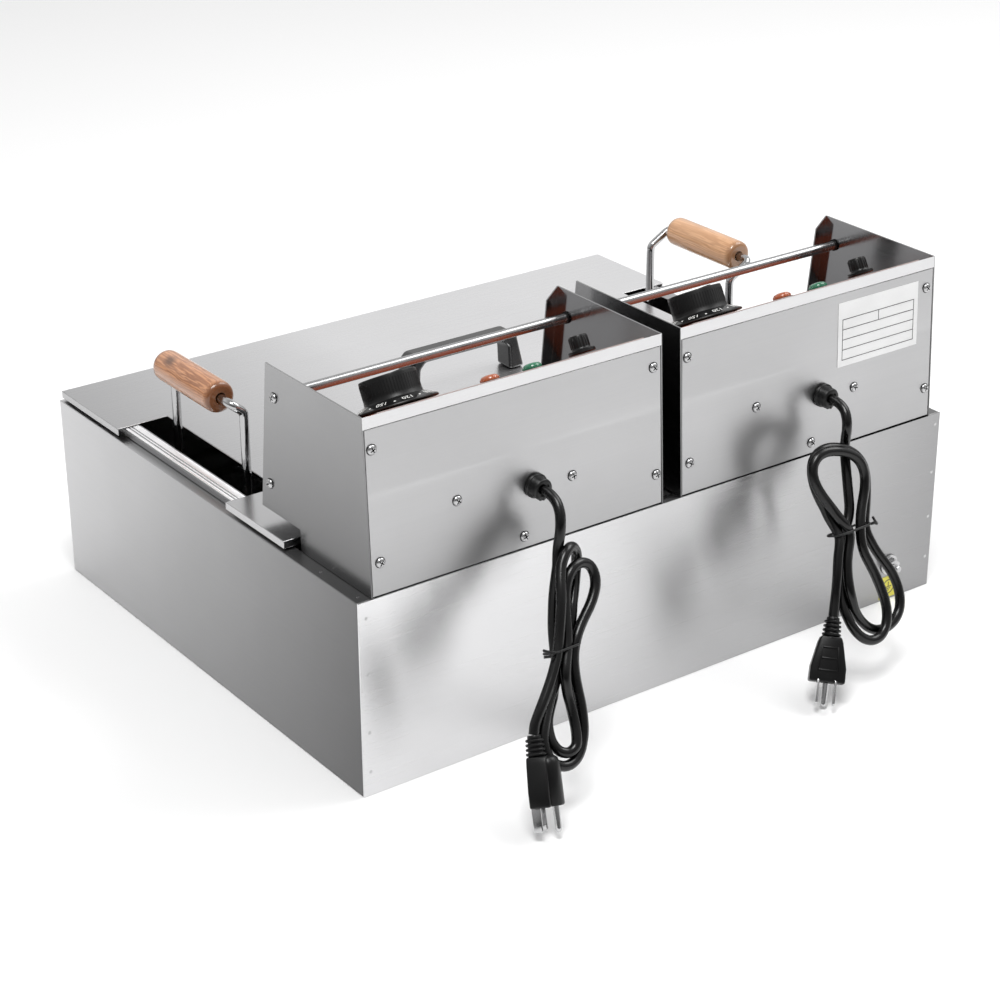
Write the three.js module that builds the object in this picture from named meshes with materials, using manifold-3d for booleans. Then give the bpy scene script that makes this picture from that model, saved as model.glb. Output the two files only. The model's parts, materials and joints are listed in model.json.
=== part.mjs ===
// Twin-head countertop electric fryer, seen with its rear towards +Y.
// Millimetres, +Z up, operator side -Y. Origin: bottom centre of the casing and its rear earth stud.
import * as THREE from 'three';
import { mergeVertices } from 'three/addons/utils/BufferGeometryUtils.js';
import Module from 'manifold-3d';

const wasm = await Module();
wasm.setup();

// ---- driving dimensions -------------------------------------------------
const WIDTH = 540;            // casing, along X
const DEPTH = 432;            // casing, along Y
const HEIGHT = 150;           // casing, along Z
const SHEET = 1.2;            // sheet steel
const GAP = 0.3;              // play between neighbouring pieces
const FLANGE = 12;            // folded rims of the casing
const STUD_REACH = 12;        // earth stud beyond the back panel
const Y_SHIFT = -STUD_REACH / 2;
const HX = WIDTH / 2;
const HY = DEPTH / 2;

const TANK_X = 250;           // half width outside
const TANK_FRONT = -204;
const TANK_BACK = 106;
const TANK_FLOOR = 12;
const RIM_TOP = 156;
const RIM_OUT = 262;          // half width over the turned-down rim

const LID_TOP = 157.5;
const LID_X = [-269.5, 268];
const LID_Y = [-215.2, 39.6];
const LIP = 5.8;              // depth of the folded lips
const NOTCH_X = 225;          // half width of the lid between its side notches
const NOTCH_FRONT = -122;
const DECK_Y = [40, 119.2];

const HEAD_W = 250.5;
const HEAD_C = 133.45;        // distance of each head centre from the middle
const HEAD_TOP = 278.8;
const HEAD_LOW = 150.4;
const HEAD_RAISED = 167;
const HW = HEAD_W / 2;
const TILT = 29.5 * Math.PI / 180;        // slope of the control panel
const PANEL_REAR = [209, HEAD_TOP];
const CONTROL_ROW = 35;       // distance of the controls from the panel's rear edge
const KNOB_X = 77;
const AMBER_X = 0;
const GREEN_X = -36;
const RESET_X = -80;
const RAIL = [101, 257.5];    // y, z of the guard rail
const GLAND_X = -11.6;
const GLAND_Z = 195.2;

const ROD = 3.4;              // bail rod radius
const BAIL_X = 231.2;
const BAIL_Y = [-94, 8.3];
const BEND_Z = 207;           // bails lean outwards above this height
const GRIP_LEN = 82;
const CORD = 3.75;            // mains lead radius

// ---- materials ----------------------------------------------------------
const mat = (color, roughness, metalness) =>
  new THREE.MeshStandardMaterial({ color, roughness, metalness });
const steel = () => mat(0xc4c6c9, 0.35, 1.0);
const innerSteel = () => mat(0x9ea1a5, 0.45, 1.0);
const chrome = () => mat(0xdcdee0, 0.1, 1.0);
const black = () => mat(0x141416, 0.45, 0.0);
const rubber = () => mat(0x101012, 0.5, 0.0);

// ---- helpers ------------------------------------------------------------
const V = (x, y, z) => new THREE.Vector3(x, y, z);
const group = new THREE.Group();
group.name = 'twin_head_fryer';

function place(geometry, rows) {
  const m = new THREE.Matrix4();
  m.set(...rows);
  geometry.applyMatrix4(m);
  return geometry;
}

function shapeOf(points, holes = []) {
  const shape = new THREE.Shape(points.map((p) => new THREE.Vector2(p[0], p[1])));
  for (const h of holes) {
    const path = new THREE.Path();
    path.absarc(h[0], h[1], h[2], 0, Math.PI * 2, true);
    shape.holes.push(path);
  }
  return shape;
}

function extrude(points, depth, holes = [], curveSegments = 8) {
  return new THREE.ExtrudeGeometry(shapeOf(points, holes), {
    depth, bevelEnabled: false, curveSegments, steps: 1,
  });
}

// outline given as (y, z), run along X from x0 to x1
function alongX(points, x0, x1) {
  return place(extrude(points, x1 - x0), [0, 0, 1, x0, 1, 0, 0, 0, 0, 1, 0, 0, 0, 0, 0, 1]);
}

// outline given as (x, z), run along Y from y0 to y1
function alongY(points, y0, y1, holes = []) {
  return place(extrude(points, y1 - y0, holes), [1, 0, 0, 0, 0, 0, -1, y1, 0, 1, 0, 0, 0, 0, 0, 1]);
}

// outline given as (x, y), run along Z from z0 to z1
function alongZ(points, z0, z1, holes = []) {
  return extrude(points, z1 - z0, holes).translate(0, 0, z0);
}

function rect(a0, a1, b0, b1) {
  return [[a0, b0], [a1, b0], [a1, b1], [a0, b1]];
}

function box(x0, x1, y0, y1, z0, z1) {
  const g = new THREE.BoxGeometry(x1 - x0, y1 - y0, z1 - z0);
  return g.translate((x0 + x1) / 2, (y0 + y1) / 2, (z0 + z1) / 2);
}

// turned piece: profile of [radius, height] pairs about +Z
function turned(profile, segments = 24) {
  const pts = profile.map((p) => new THREE.Vector2(p[0], p[1]));
  return new THREE.LatheGeometry(pts, segments).rotateX(Math.PI / 2);
}

function cylinder(radius, length, segments = 16) {
  return turned([[0, 0], [radius, 0], [radius, length], [0, length]], segments);
}

// lay a piece built about +Z so that its axis runs along `axis` from `origin`
function aim(geometry, origin, axis, side = null) {
  const z = axis.clone().normalize();
  const ref = side ? side.clone() : (Math.abs(z.x) < 0.9 ? V(1, 0, 0) : V(0, 1, 0));
  const y = new THREE.Vector3().crossVectors(z, ref).normalize();
  const x = new THREE.Vector3().crossVectors(y, z).normalize();
  const m = new THREE.Matrix4().makeBasis(x, y, z).setPosition(origin);
  return geometry.applyMatrix4(m);
}

// round bar along a path of straight runs joined by arcs of the given radius
function bar(points, radius, bend, steps, sides = 8) {
  const path = new THREE.CurvePath();
  let from = points[0];
  for (let i = 1; i < points.length - 1; i += 1) {
    const inDir = points[i].clone().sub(points[i - 1]).normalize();
    const outDir = points[i + 1].clone().sub(points[i]).normalize();
    const a = points[i].clone().addScaledVector(inDir, -bend);
    const b = points[i].clone().addScaledVector(outDir, bend);
    path.add(new THREE.LineCurve3(from, a));
    path.add(new THREE.QuadraticBezierCurve3(a, points[i], b));
    from = b;
  }
  path.add(new THREE.LineCurve3(from, points[points.length - 1]));
  return sweep(path, radius, steps, sides);
}

function sweep(path, radius, steps, sides = 8) {
  const ring = [];
  for (let i = 0; i < sides; i += 1) {
    const t = (i + 0.5) / sides * Math.PI * 2;
    ring.push([radius * Math.cos(t), radius * Math.sin(t)]);
  }
  return new THREE.ExtrudeGeometry(shapeOf(ring), { steps, extrudePath: path, bevelEnabled: false });
}

function welded(geometry) {
  const g = geometry.clone();
  g.deleteAttribute('normal');
  g.deleteAttribute('uv');
  return mergeVertices(g, 1e-4);
}

function solid(geometry) {
  const g = welded(geometry);
  const mesh = new wasm.Mesh({
    numProp: 3,
    vertProperties: new Float32Array(g.attributes.position.array),
    triVerts: new Uint32Array(g.index.array),
  });
  return new wasm.Manifold(mesh);
}

function geometryOf(manifold) {
  const mesh = manifold.getMesh();
  const g = new THREE.BufferGeometry();
  g.setAttribute('position', new THREE.BufferAttribute(new Float32Array(mesh.vertProperties), 3));
  g.setIndex(new THREE.BufferAttribute(new Uint32Array(mesh.triVerts), 1));
  g.computeVertexNormals();
  return g;
}

function join(pieces) {
  return geometryOf(pieces.map(solid).reduce((a, b) => a.add(b)));
}

function cut(body, tools) {
  return geometryOf(tools.map(solid).reduce((a, b) => a.subtract(b), solid(body)));
}

function add(name, geometry, material) {
  geometry.translate(0, Y_SHIFT, 0);
  const mesh = new THREE.Mesh(geometry, material);
  mesh.name = name;
  group.add(mesh);
  return mesh;
}

// ---- casing -------------------------------------------------------------
const WALL_END = HY - SHEET - GAP;

add('casing_wrap', cut(box(-HX, HX, -HY, WALL_END, 0, HEIGHT), [
  box(-HX + SHEET, HX - SHEET, -HY + SHEET, HY + 5, SHEET, HEIGHT - SHEET),
  box(-HX + FLANGE, HX - FLANGE, -HY + FLANGE, HY + 5, -5, HEIGHT + 5),
]), steel());

const studHole = [225, 31, 3.3];
const backFlangeX = HX - FLANGE - GAP;
add('back_panel', cut(box(-HX, HX, HY - FLANGE + 2, HY, 0, HEIGHT), [
  box(-HX - 5, HX + 5, 0, HY - SHEET, SHEET, HEIGHT - SHEET),
  box(backFlangeX, HX + 5, 0, HY - SHEET, -5, HEIGHT + 5),
  box(-HX - 5, -backFlangeX, 0, HY - SHEET, -5, HEIGHT + 5),
  aim(cylinder(studHole[2], 40), V(-studHole[0], HY - 20, studHole[1]), V(0, 1, 0)),
]), steel());

add('base_plate', box(-HX + 1.8, HX - 1.8, -HY + 1.8, HY - 1.8, SHEET + GAP, 2 * SHEET + GAP), innerSteel());

const SHELF_TOP = HEIGHT - SHEET - GAP;
add('rear_shelf', box(-HX + 1.8, HX - 1.8, 124, HY - 1.8, SHELF_TOP - SHEET, SHELF_TOP), innerSteel());

// equipotential earth stud, clamped through the back panel by its inner and outer nuts
add('earth_stud', aim(turned([
  [0, -8], [3, -8], [3, -7], [6.4, -7], [6.4, -1.5], [3, -1.5], [3, 0.3], [8.5, 0.3], [8.5, 1.6],
  [6.4, 1.6], [6.4, 6.6], [3, 6.6], [3, STUD_REACH], [0, STUD_REACH],
], 12), V(-studHole[0], HY, studHole[1]), V(0, 1, 0)), chrome());

// ---- oil tank -----------------------------------------------------------
const RIM_LOW = HEIGHT + GAP;
add('oil_tank', cut(join([
  box(-TANK_X, TANK_X, TANK_FRONT, TANK_BACK, TANK_FLOOR, RIM_TOP),
  box(-RIM_OUT, RIM_OUT, TANK_FRONT - 6, TANK_BACK + 6, RIM_LOW, RIM_TOP),
]), [
  box(-TANK_X + SHEET, TANK_X - SHEET, TANK_FRONT + SHEET, TANK_BACK - SHEET, TANK_FLOOR + SHEET, 200),
  cut(box(-RIM_OUT + SHEET, RIM_OUT - SHEET, TANK_FRONT - 6 + SHEET, TANK_BACK + 6 - SHEET,
    RIM_LOW - 1, RIM_TOP - SHEET), [
    box(-TANK_X, TANK_X, TANK_FRONT, TANK_BACK, 0, 200),
  ]),
]), innerSteel());

// ---- rear deck, slotted from its front edge for the two heating units ----
const SLOT_HALF = 42;
const SLOT_END = 106;
const lidUnder = LID_TOP - SHEET;
function trayPlate(x0, x1, y0, y1, openSides) {
  // flat plate with lips folded down on every side that is not open
  const inX0 = openSides.includes('-x') ? x0 - 5 : x0 + SHEET;
  const inX1 = openSides.includes('+x') ? x1 + 5 : x1 - SHEET;
  const inY0 = openSides.includes('-y') ? y0 - 5 : y0 + SHEET;
  const inY1 = openSides.includes('+y') ? y1 + 5 : y1 - SHEET;
  return cut(box(x0, x1, y0, y1, LID_TOP - LIP, LID_TOP), [
    box(inX0, inX1, inY0, inY1, 0, lidUnder),
  ]);
}
add('deck_plate', cut(trayPlate(-268, 268, DECK_Y[0], DECK_Y[1], ['-y']), [
  box(HEAD_C - SLOT_HALF, HEAD_C + SLOT_HALF, 0, SLOT_END, 100, 200),
  box(-HEAD_C - SLOT_HALF, -HEAD_C + SLOT_HALF, 0, SLOT_END, 100, 200),
]), steel());

// ---- lid with two side notches and a bridge handle ------------------------
add('lid', cut(trayPlate(LID_X[0], LID_X[1], LID_Y[0], LID_Y[1], ['+y']), [
  box(NOTCH_X, 300, NOTCH_FRONT, 100, 100, 200),
  box(-300, -NOTCH_X, NOTCH_FRONT, 100, 100, 200),
]), steel());

const LH = { x0: -49, x1: 52, y: -48, top: 190, half: 9.5 };
add('lid_handle', alongY([
  [LH.x0 - 7, LID_TOP + GAP], [LH.x0 + 7, LID_TOP + GAP], [LH.x0 + 8, LH.top - 12], [LH.x0 + 13, LH.top - 7],
  [LH.x1 - 13, LH.top - 7], [LH.x1 - 8, LH.top - 12], [LH.x1 - 7, LID_TOP + GAP], [LH.x1 + 7, LID_TOP + GAP],
  [LH.x1, LH.top - 4], [LH.x1 - 4, LH.top], [LH.x0 + 4, LH.top], [LH.x0, LH.top - 4],
], LH.y - LH.half, LH.y + LH.half), black());

// ---- frying rack and its two bails ----------------------------------------
const RACK_Z = 64;
const RACK = { x: 238, y0: -185, y1: 28 };
const rackParts = [
  box(-RACK.x, RACK.x, RACK.y0, RACK.y0 + 6, RACK_Z, RACK_Z + 6),
  box(-RACK.x, RACK.x, RACK.y1 - 6, RACK.y1, RACK_Z, RACK_Z + 6),
  box(-RACK.x, -RACK.x + 6, RACK.y0, RACK.y1, RACK_Z, RACK_Z + 6),
  box(RACK.x - 6, RACK.x, RACK.y0, RACK.y1, RACK_Z, RACK_Z + 6),
];
const BARS = 17;
for (let i = 1; i <= BARS; i += 1) {
  const x = -RACK.x + 3 + (2 * RACK.x - 6) * i / (BARS + 1);
  rackParts.push(box(x - 1.5, x + 1.5, RACK.y0 + 3, RACK.y1 - 3, RACK_Z + 1.5, RACK_Z + 4.5));
}
add('fry_rack', join(rackParts), chrome());

const GRIP_R = 12.2;
const bails = {
  a: { x: BAIL_X, out: 9.5, top: 215, gripFrom: -89 },
  b: { x: -BAIL_X, out: -21, top: 219, gripFrom: -86.5 },
};
for (const [tag, b] of Object.entries(bails)) {
  const foot = RACK_Z + 6 + GAP;
  const x1 = b.x + b.out;
  add(`bail_${tag}`, bar([
    V(b.x, BAIL_Y[0], foot), V(b.x, BAIL_Y[0], BEND_Z), V(x1, BAIL_Y[0], b.top),
    V(x1, BAIL_Y[1], b.top), V(b.x, BAIL_Y[1], BEND_Z), V(b.x, BAIL_Y[1], foot),
  ], ROD, 4.6, 72, 8), chrome());
  add(`grip_${tag}`, aim(turned([
    [ROD + 0.5, 0.6], [GRIP_R - 2.4, 0], [GRIP_R - 0.5, 1], [GRIP_R, 3.4], [GRIP_R, GRIP_LEN - 3.4],
    [GRIP_R - 0.5, GRIP_LEN - 1], [GRIP_R - 2.4, GRIP_LEN], [ROD + 0.5, GRIP_LEN - 0.6], [ROD + 0.5, 0.6],
  ], 20), V(x1, b.gripFrom, b.top), V(0, 1, 0)), mat(0xc98a52, 0.5, 0.0));
}

// ---- control heads ----------------------------------------------------------
const down = V(0, -Math.cos(TILT), -Math.sin(TILT));      // down the panel, towards the operator
const normal = V(0, -Math.sin(TILT), Math.cos(TILT));     // out of the panel
const panelPoint = (x, s, h = 0) =>
  V(x, PANEL_REAR[0], PANEL_REAR[1]).addScaledVector(down, s).addScaledVector(normal, h);
const PANEL_LEN = 143.6;
const panelEnd = panelPoint(0, PANEL_LEN);
const BACK_LEAN = 0.0462;
const backY = (z) => 215 - (z - 151) * BACK_LEAN;         // rear face leans forward
const FRONT_LEAN = 0.115;
const frontY = (z) => 76.7 + (z - HEAD_RAISED) * FRONT_LEAN;   // front edge leans back

// thin closed outline following a polyline, thickness t to the left of travel
function sheetOutline(points, t) {
  const inner = [];
  const n = points.length;
  for (let i = 0; i < n; i += 1) {
    const a = points[Math.max(i - 1, 0)];
    const b = points[i];
    const c = points[Math.min(i + 1, n - 1)];
    const dirs = [];
    if (i > 0) dirs.push([b[0] - a[0], b[1] - a[1]]);
    if (i < n - 1) dirs.push([c[0] - b[0], c[1] - b[1]]);
    const normals = dirs.map((d) => {
      const l = Math.hypot(d[0], d[1]);
      return [-d[1] / l, d[0] / l];
    });
    const m = normals.length === 2
      ? [normals[0][0] + normals[1][0], normals[0][1] + normals[1][1]] : [2 * normals[0][0], 2 * normals[0][1]];
    const k = 2 / (m[0] * m[0] + m[1] * m[1]);
    const scale = normals.length === 2 ? k : 0.5;
    inner.push([b[0] + m[0] * t * scale, b[1] + m[1] * t * scale]);
  }
  return points.concat(inner.reverse());
}

const panelHoles = [
  [KNOB_X, 5.3, 'shaft'], [AMBER_X, 6.4, 'lamp'], [GREEN_X, 6.4, 'lamp'], [RESET_X, 3.4, 'reset'],
];
const holeTools = () => panelHoles.map((h) =>
  aim(cylinder(h[1], 20, 16), panelPoint(h[0], CONTROL_ROW, -10), normal));

const LEG_X = 30;
const LEG_Y = 92;
const EL_R = 4;
const EL_Z = 46;

function shell() {
  const sheet = sheetOutline([
    [backY(270), 270.2], PANEL_REAR, [panelEnd.y, panelEnd.z], [frontY(HEAD_RAISED) + 0.4, HEAD_RAISED],
    [127, HEAD_RAISED], [127, HEAD_LOW], [backY(HEAD_LOW) - 1.6, HEAD_LOW],
  ], SHEET);
  const wing = [
    [backY(HEAD_LOW), HEAD_LOW], [127, HEAD_LOW], [127, HEAD_RAISED], [frontY(HEAD_RAISED), HEAD_RAISED],
    [frontY(HEAD_TOP), HEAD_TOP], PANEL_REAR,
  ].reverse();
  const shear = [1, 0, 0, 0, 0, 1, FRONT_LEAN, -FRONT_LEAN * HEAD_RAISED, 0, 0, 1, 0, 0, 0, 0, 1];
  const y0 = frontY(HEAD_RAISED);
  const flangeA = place(alongY([
    [HW, HEAD_RAISED], [HW, HEAD_TOP], [HW - 1.5, HEAD_TOP], [HW - 10.5, 269.5], [HW - 10.5, HEAD_RAISED],
  ], y0, y0 + SHEET), shear);
  const flangeB = place(alongY([
    [-HW, HEAD_RAISED], [-HW + 10.5, HEAD_RAISED], [-HW + 10.5, 269.5], [-HW + 1.5, HEAD_TOP], [-HW, HEAD_TOP],
  ], y0, y0 + SHEET), shear);
  const body = join([
    alongX(sheet, -HW + 0.6, HW - 0.6), alongX(wing, HW - SHEET, HW), alongX(wing, -HW, -HW + SHEET),
    flangeA, flangeB,
  ]);
  return cut(body, [
    ...holeTools(),
    aim(cylinder(EL_R + 0.4, 40, 16), V(LEG_X, LEG_Y, 150), V(0, 0, 1)),
    aim(cylinder(EL_R + 0.4, 40, 16), V(-LEG_X, LEG_Y, 150), V(0, 0, 1)),
    aim(cylinder(2.2, 40, 12), V(0, LEG_Y, 150), V(0, 0, 1)),
  ]);
}

function backPlate() {
  const w = HW - SHEET - 0.4;
  const low = HEAD_LOW + 0.6;
  const y = backY(low);
  const k = -BACK_LEAN;
  const plate = place(alongY(rect(-w, w, low, 269.8), y - SHEET, y), [
    1, 0, 0, 0, 0, 1, k, -k * low, 0, 0, 1, 0, 0, 0, 0, 1]);
  return cut(plate, [
    aim(cylinder(7.4, 40, 16), V(GLAND_X, 195, GLAND_Z), V(0, 1, 0)),
  ]);
}

function controlPlate() {
  // local x runs towards -X and local y down the panel, so the hole positions change sign in x
  const holes = panelHoles.map((h) => [-h[0], CONTROL_ROW, h[1] + 0.2]);
  const m = new THREE.Matrix4().makeBasis(V(-1, 0, 0), down, normal).setPosition(panelPoint(0, 0, GAP));
  return extrude(rect(-HW + 14, HW - 14, 3, PANEL_LEN - 8), 0.6, holes).applyMatrix4(m);
}

function knob() {
  return aim(turned([
    [0, 13], [3.3, 13], [3.3, 2.2], [30, 2.2], [30, 3.6], [22.5, 7.4], [20.4, 8], [20, 23.4], [19.2, 24.6],
    [0, 24.6],
  ], 32), panelPoint(KNOB_X, CONTROL_ROW), normal);
}

function thermostat() {
  return aim(turned([
    [0, -30], [15, -30], [15, -2], [8, -2], [8, -1.6], [3, -1.6], [3, 12.4], [0, 12.4],
  ], 16), panelPoint(KNOB_X, CONTROL_ROW), normal);
}

function lamp(x) {
  return aim(turned([
    [0, -22], [6, -22], [6, 1.2], [8, 1.2], [8, 2.2], [7.2, 4.2], [4.5, 5.3], [0, 5.8],
  ], 16), panelPoint(x, CONTROL_ROW), normal);
}

function limiter() {
  return aim(turned([
    [0, -30], [11, -30], [11, -2], [2.6, -2], [2.6, 1.5], [0, 1.5],
  ], 14), panelPoint(RESET_X, CONTROL_ROW), normal);
}

function resetCap() {
  return aim(turned([
    [0, 4.4], [3.2, 4.4], [3.2, 3.2], [10, 3.2], [10, 5.8], [7, 6], [6.8, 15.6], [6.2, 16.4], [0, 16.4],
  ], 20), panelPoint(RESET_X, CONTROL_ROW), normal);
}

function element() {
  const z = EL_Z;
  return bar([
    V(-LEG_X, LEG_Y, 188), V(-LEG_X, LEG_Y, z), V(-LEG_X, 16, z), V(-96, 16, z), V(-96, -178, z),
    V(-34, -178, z), V(-34, -30, z), V(34, -30, z), V(34, -178, z), V(96, -178, z), V(96, 16, z),
    V(LEG_X, 16, z), V(LEG_X, LEG_Y, z), V(LEG_X, LEG_Y, 188),
  ], EL_R, 16, 96, 8);
}

function sensor() {
  return join([
    bar([V(0, LEG_Y, 188), V(0, LEG_Y, 60), V(0, 30, 60)], 1.6, 14, 24, 6),
    aim(cylinder(3.2, 70, 12), V(0, 31, 60), V(0, -1, 0)),
  ]);
}

function elementGuard() {
  const y = LEG_Y + 7;
  return cut(join([
    box(-38, 38, y, y + SHEET, 40, HEAD_RAISED - GAP),
    box(-38, 38, LEG_Y - 8, y + SHEET, HEAD_RAISED - GAP - SHEET, HEAD_RAISED - GAP),
  ]), [
    aim(cylinder(EL_R + 0.4, 40, 16), V(LEG_X, LEG_Y, 150), V(0, 0, 1)),
    aim(cylinder(EL_R + 0.4, 40, 16), V(-LEG_X, LEG_Y, 150), V(0, 0, 1)),
    aim(cylinder(2.2, 40, 12), V(0, LEG_Y, 150), V(0, 0, 1)),
  ]);
}

// snap-in cord bushing, standing in the back plate
function gland() {
  const face = backY(GLAND_Z);
  return aim(turned([
    [0, -8], [6.4, -8], [7, -1.6], [7, 0.7], [9, 0.7], [9, 3], [8, 4.2], [7.6, 9.6], [6, 10.6], [0, 10.6],
  ], 20), V(GLAND_X, face, GLAND_Z), V(0, 1, 0));
}

// each mains lead: gland, first bend, tied hank leaning out, moulded plug standing on its pins
const leads = {
  a: {
    tie: V(149.11, 279.86, 105.5), fall: V(0, 0.4472, -0.8944), out: V(0, 0.8944, 0.4472),
    lead: [[121.8, 231, 195], [122.6, 240.5, 190.5], [125, 246.5, 179.5]], leadX: -18.5, top: -68,
    outline: [[-10, -68], [-27, -68], [-41.5, -56], [-45.6, -37], [-31.3, -17.7], [-14.5, -7], [-11.9, -2.6],
      [-11.9, 2.6], [-9.5, 21.7], [-5.4, 49], [5.2, 70.5], [17, 74], [24, 64], [31, 50.3], [33.4, 48.9], [45.2, 46.9], [29.7, 17],
      [12.6, 5.5], [11.9, 2.6], [11.9, -2.6], [8.5, -10], [-1.7, -37]],
    waist: 12.1,
    plug: [39.4, 48.4], dir: [0.171, 0.985], twist: 2.4, earth: 9,
  },
  b: {
    tie: V(-125.86, 271.35, 112.4), fall: V(0, 0.3933, -0.9194), out: V(0, 0.9194, 0.3933),
    lead: [[-145, 231, 195], [-144.4, 239, 190.5], [-141.5, 244, 180]], leadX: -13, top: -62,
    outline: [[-5, -62], [-21, -62], [-28, -54], [-30, -31], [-21.5, -14], [-15.6, -3], [-15.6, 3], [-31, 38.6], [-34, 62.8],
      [-15.4, 80.6], [6, 86.6], [25, 73.2], [26.6, 61.2], [29, 59.9], [40.9, 54.4], [35, 42.9], [24.6, 15.3],
      [15.8, 4], [15.8, -4], [17.8, -20.8], [24.6, -37.7], [25, -56], [13.8, -62]],
    waist: 16.6,
    plug: [35.2, 57.6], dir: [0.418, 0.908], twist: 0.6, earth: 5,
  },
};
const HANK_T = 15.6;

function hankFrame(c, geometry) {
  // local x stays along X, local y runs down the fall, local z out of the hank
  const m = new THREE.Matrix4().makeBasis(V(1, 0, 0), c.fall, c.out).setPosition(c.tie);
  return geometry.applyMatrix4(m);
}

function hank(c) {
  return hankFrame(c, extrude(c.outline, HANK_T).translate(0, 0, -HANK_T / 2));
}

function tie(c) {
  const w = c.waist;
  const t = HANK_T / 2 + 0.8;
  return hankFrame(c, cut(box(-w - 1.6, w + 1.6, -1.4, 1.4, -t - 1.6, t + 1.6), [box(-w, w, -5, 5, -t, t)]));
}

function leadTube(c, x) {
  const end = c.tie.clone().add(V(c.leadX, 0, 0)).addScaledVector(c.fall, c.top - 0.35);
  const before = end.clone().addScaledVector(c.fall, -6);
  const points = [
    V(x, backY(GLAND_Z) + 10.9, GLAND_Z), V(x, backY(GLAND_Z) + 14.5, GLAND_Z),
    ...c.lead.slice(1).map((p) => V(...p)), before, end,
  ];
  return sweep(new THREE.CatmullRomCurve3(points, false, 'centripetal'), CORD, 16, 10);
}

function plug(c) {
  const at = c.tie.clone().add(V(c.plug[0], 0, 0)).addScaledVector(c.fall, c.plug[1]);
  const dir = V(c.dir[0], 0, 0).addScaledVector(c.fall, c.dir[1]).normalize();
  const across = new THREE.Vector3().crossVectors(dir, c.out).applyAxisAngle(dir, c.twist);
  const relief = turned([
    [0, 0], [4.4, 0], [4.6, 3], [6.2, 3.6], [6.2, 5.6], [5, 6.2], [5.2, 7.6], [6.6, 8.2], [6.6, 10.2],
    [5.6, 10.8], [5.8, 12.6], [7, 13.2], [7, 15], [0, 15],
  ], 12);
  const body = extrude([
    [-7.2, 14], [7.2, 14], [8.6, 18], [13, 38], [13.2, 48], [-13.2, 48], [-13, 38], [-8.6, 18],
  ], 15).translate(0, 0, -9).rotateX(Math.PI / 2);
  const blade = (x) => box(x - 0.8, x + 0.8, -6.4, 0, 46, 64.5);
  const pin = aim(cylinder(2.4, 19.9, 12), V(0, c.earth, 46), V(0, 0, 1));
  const round = aim(cylinder(8.4, 33, 16), V(0, c.earth - 2.2, 15), V(0, 0, 1));
  const parts = join([relief, body, round, blade(-6.35), blade(6.35), pin]);
  return aim(parts, at, dir, across);
}

for (const [tag, side] of [['a', 1], ['b', -1]]) {
  const x = side * HEAD_C;
  const c = leads[tag];
  const put = (name, geometry, material) => add(`${name}_${tag}`, geometry.translate(x, 0, 0), material);
  put('head_shell', shell(), steel());
  put('back_plate', backPlate(), steel());
  put('control_plate', controlPlate(), mat(0xd2501e, 0.5, 0.0));
  put('guard_rail', aim(cylinder(3.7, HEAD_W - 2 * SHEET - 0.6, 16), V(-HW + SHEET + GAP, ...RAIL), V(1, 0, 0)),
    chrome());
  put('knob', knob(), black());
  put('thermostat', thermostat(), innerSteel());
  put('sensor', sensor(), mat(0xb07a4a, 0.4, 1.0));
  put('lamp_amber', lamp(AMBER_X), mat(0xd4581c, 0.2, 0.0));
  put('lamp_green', lamp(GREEN_X), mat(0x3f9a3a, 0.2, 0.0));
  put('limiter', limiter(), mat(0xe8e2d4, 0.5, 0.0));
  put('reset_cap', resetCap(), black());
  put('terminal_block', box(-60, -4, 150, 172, HEAD_LOW + SHEET + GAP, HEAD_LOW + 20), mat(0xe8e2d4, 0.5, 0.0));
  put('element', element(), mat(0x6c6f73, 0.35, 1.0));
  put('element_guard', elementGuard(), innerSteel());
  put('gland', gland(), black());
  add(`cord_${tag}`, leadTube(c, x + GLAND_X), rubber());
  add(`cord_hank_${tag}`, hank(c), rubber());
  add(`cord_tie_${tag}`, tie(c), black());
  add(`plug_${tag}`, plug(c), rubber());
}

export default group;
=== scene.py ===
import json
import math
import random

import bmesh
import bpy
from mathutils import Matrix, Vector

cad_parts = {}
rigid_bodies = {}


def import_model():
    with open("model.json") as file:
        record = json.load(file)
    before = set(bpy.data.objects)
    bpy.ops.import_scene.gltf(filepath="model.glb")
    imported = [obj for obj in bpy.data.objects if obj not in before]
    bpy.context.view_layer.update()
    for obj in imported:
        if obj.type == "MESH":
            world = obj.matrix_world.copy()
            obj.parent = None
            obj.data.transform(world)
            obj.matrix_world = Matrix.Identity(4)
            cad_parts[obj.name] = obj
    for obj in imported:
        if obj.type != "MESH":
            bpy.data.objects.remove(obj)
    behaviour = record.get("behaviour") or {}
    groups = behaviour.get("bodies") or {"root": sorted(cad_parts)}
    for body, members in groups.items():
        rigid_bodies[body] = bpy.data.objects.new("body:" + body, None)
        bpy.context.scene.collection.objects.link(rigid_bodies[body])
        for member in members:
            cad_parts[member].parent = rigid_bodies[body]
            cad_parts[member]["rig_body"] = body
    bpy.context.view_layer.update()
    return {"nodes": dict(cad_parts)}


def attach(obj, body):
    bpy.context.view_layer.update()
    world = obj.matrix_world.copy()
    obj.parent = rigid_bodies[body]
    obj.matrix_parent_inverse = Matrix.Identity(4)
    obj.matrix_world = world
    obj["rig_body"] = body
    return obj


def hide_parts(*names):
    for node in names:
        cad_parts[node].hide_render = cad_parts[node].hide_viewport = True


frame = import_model()
nodes = frame["nodes"]
scene = bpy.context.scene
scene.view_settings.view_transform = "Standard"
random.seed(7)

MM = 0.001
SHIFT = -6.0          # the frame's origin sits this far behind the casing's own middle
X = Vector((1, 0, 0))
Y = Vector((0, 1, 0))
Z = Vector((0, 0, 1))
TAU = 2 * math.pi


def at(x, y, z):
    """Casing-centred millimetres to frame metres."""
    return Vector((x, y + SHIFT, z)) * MM


# ---- camera ---------------------------------------------------------------

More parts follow.
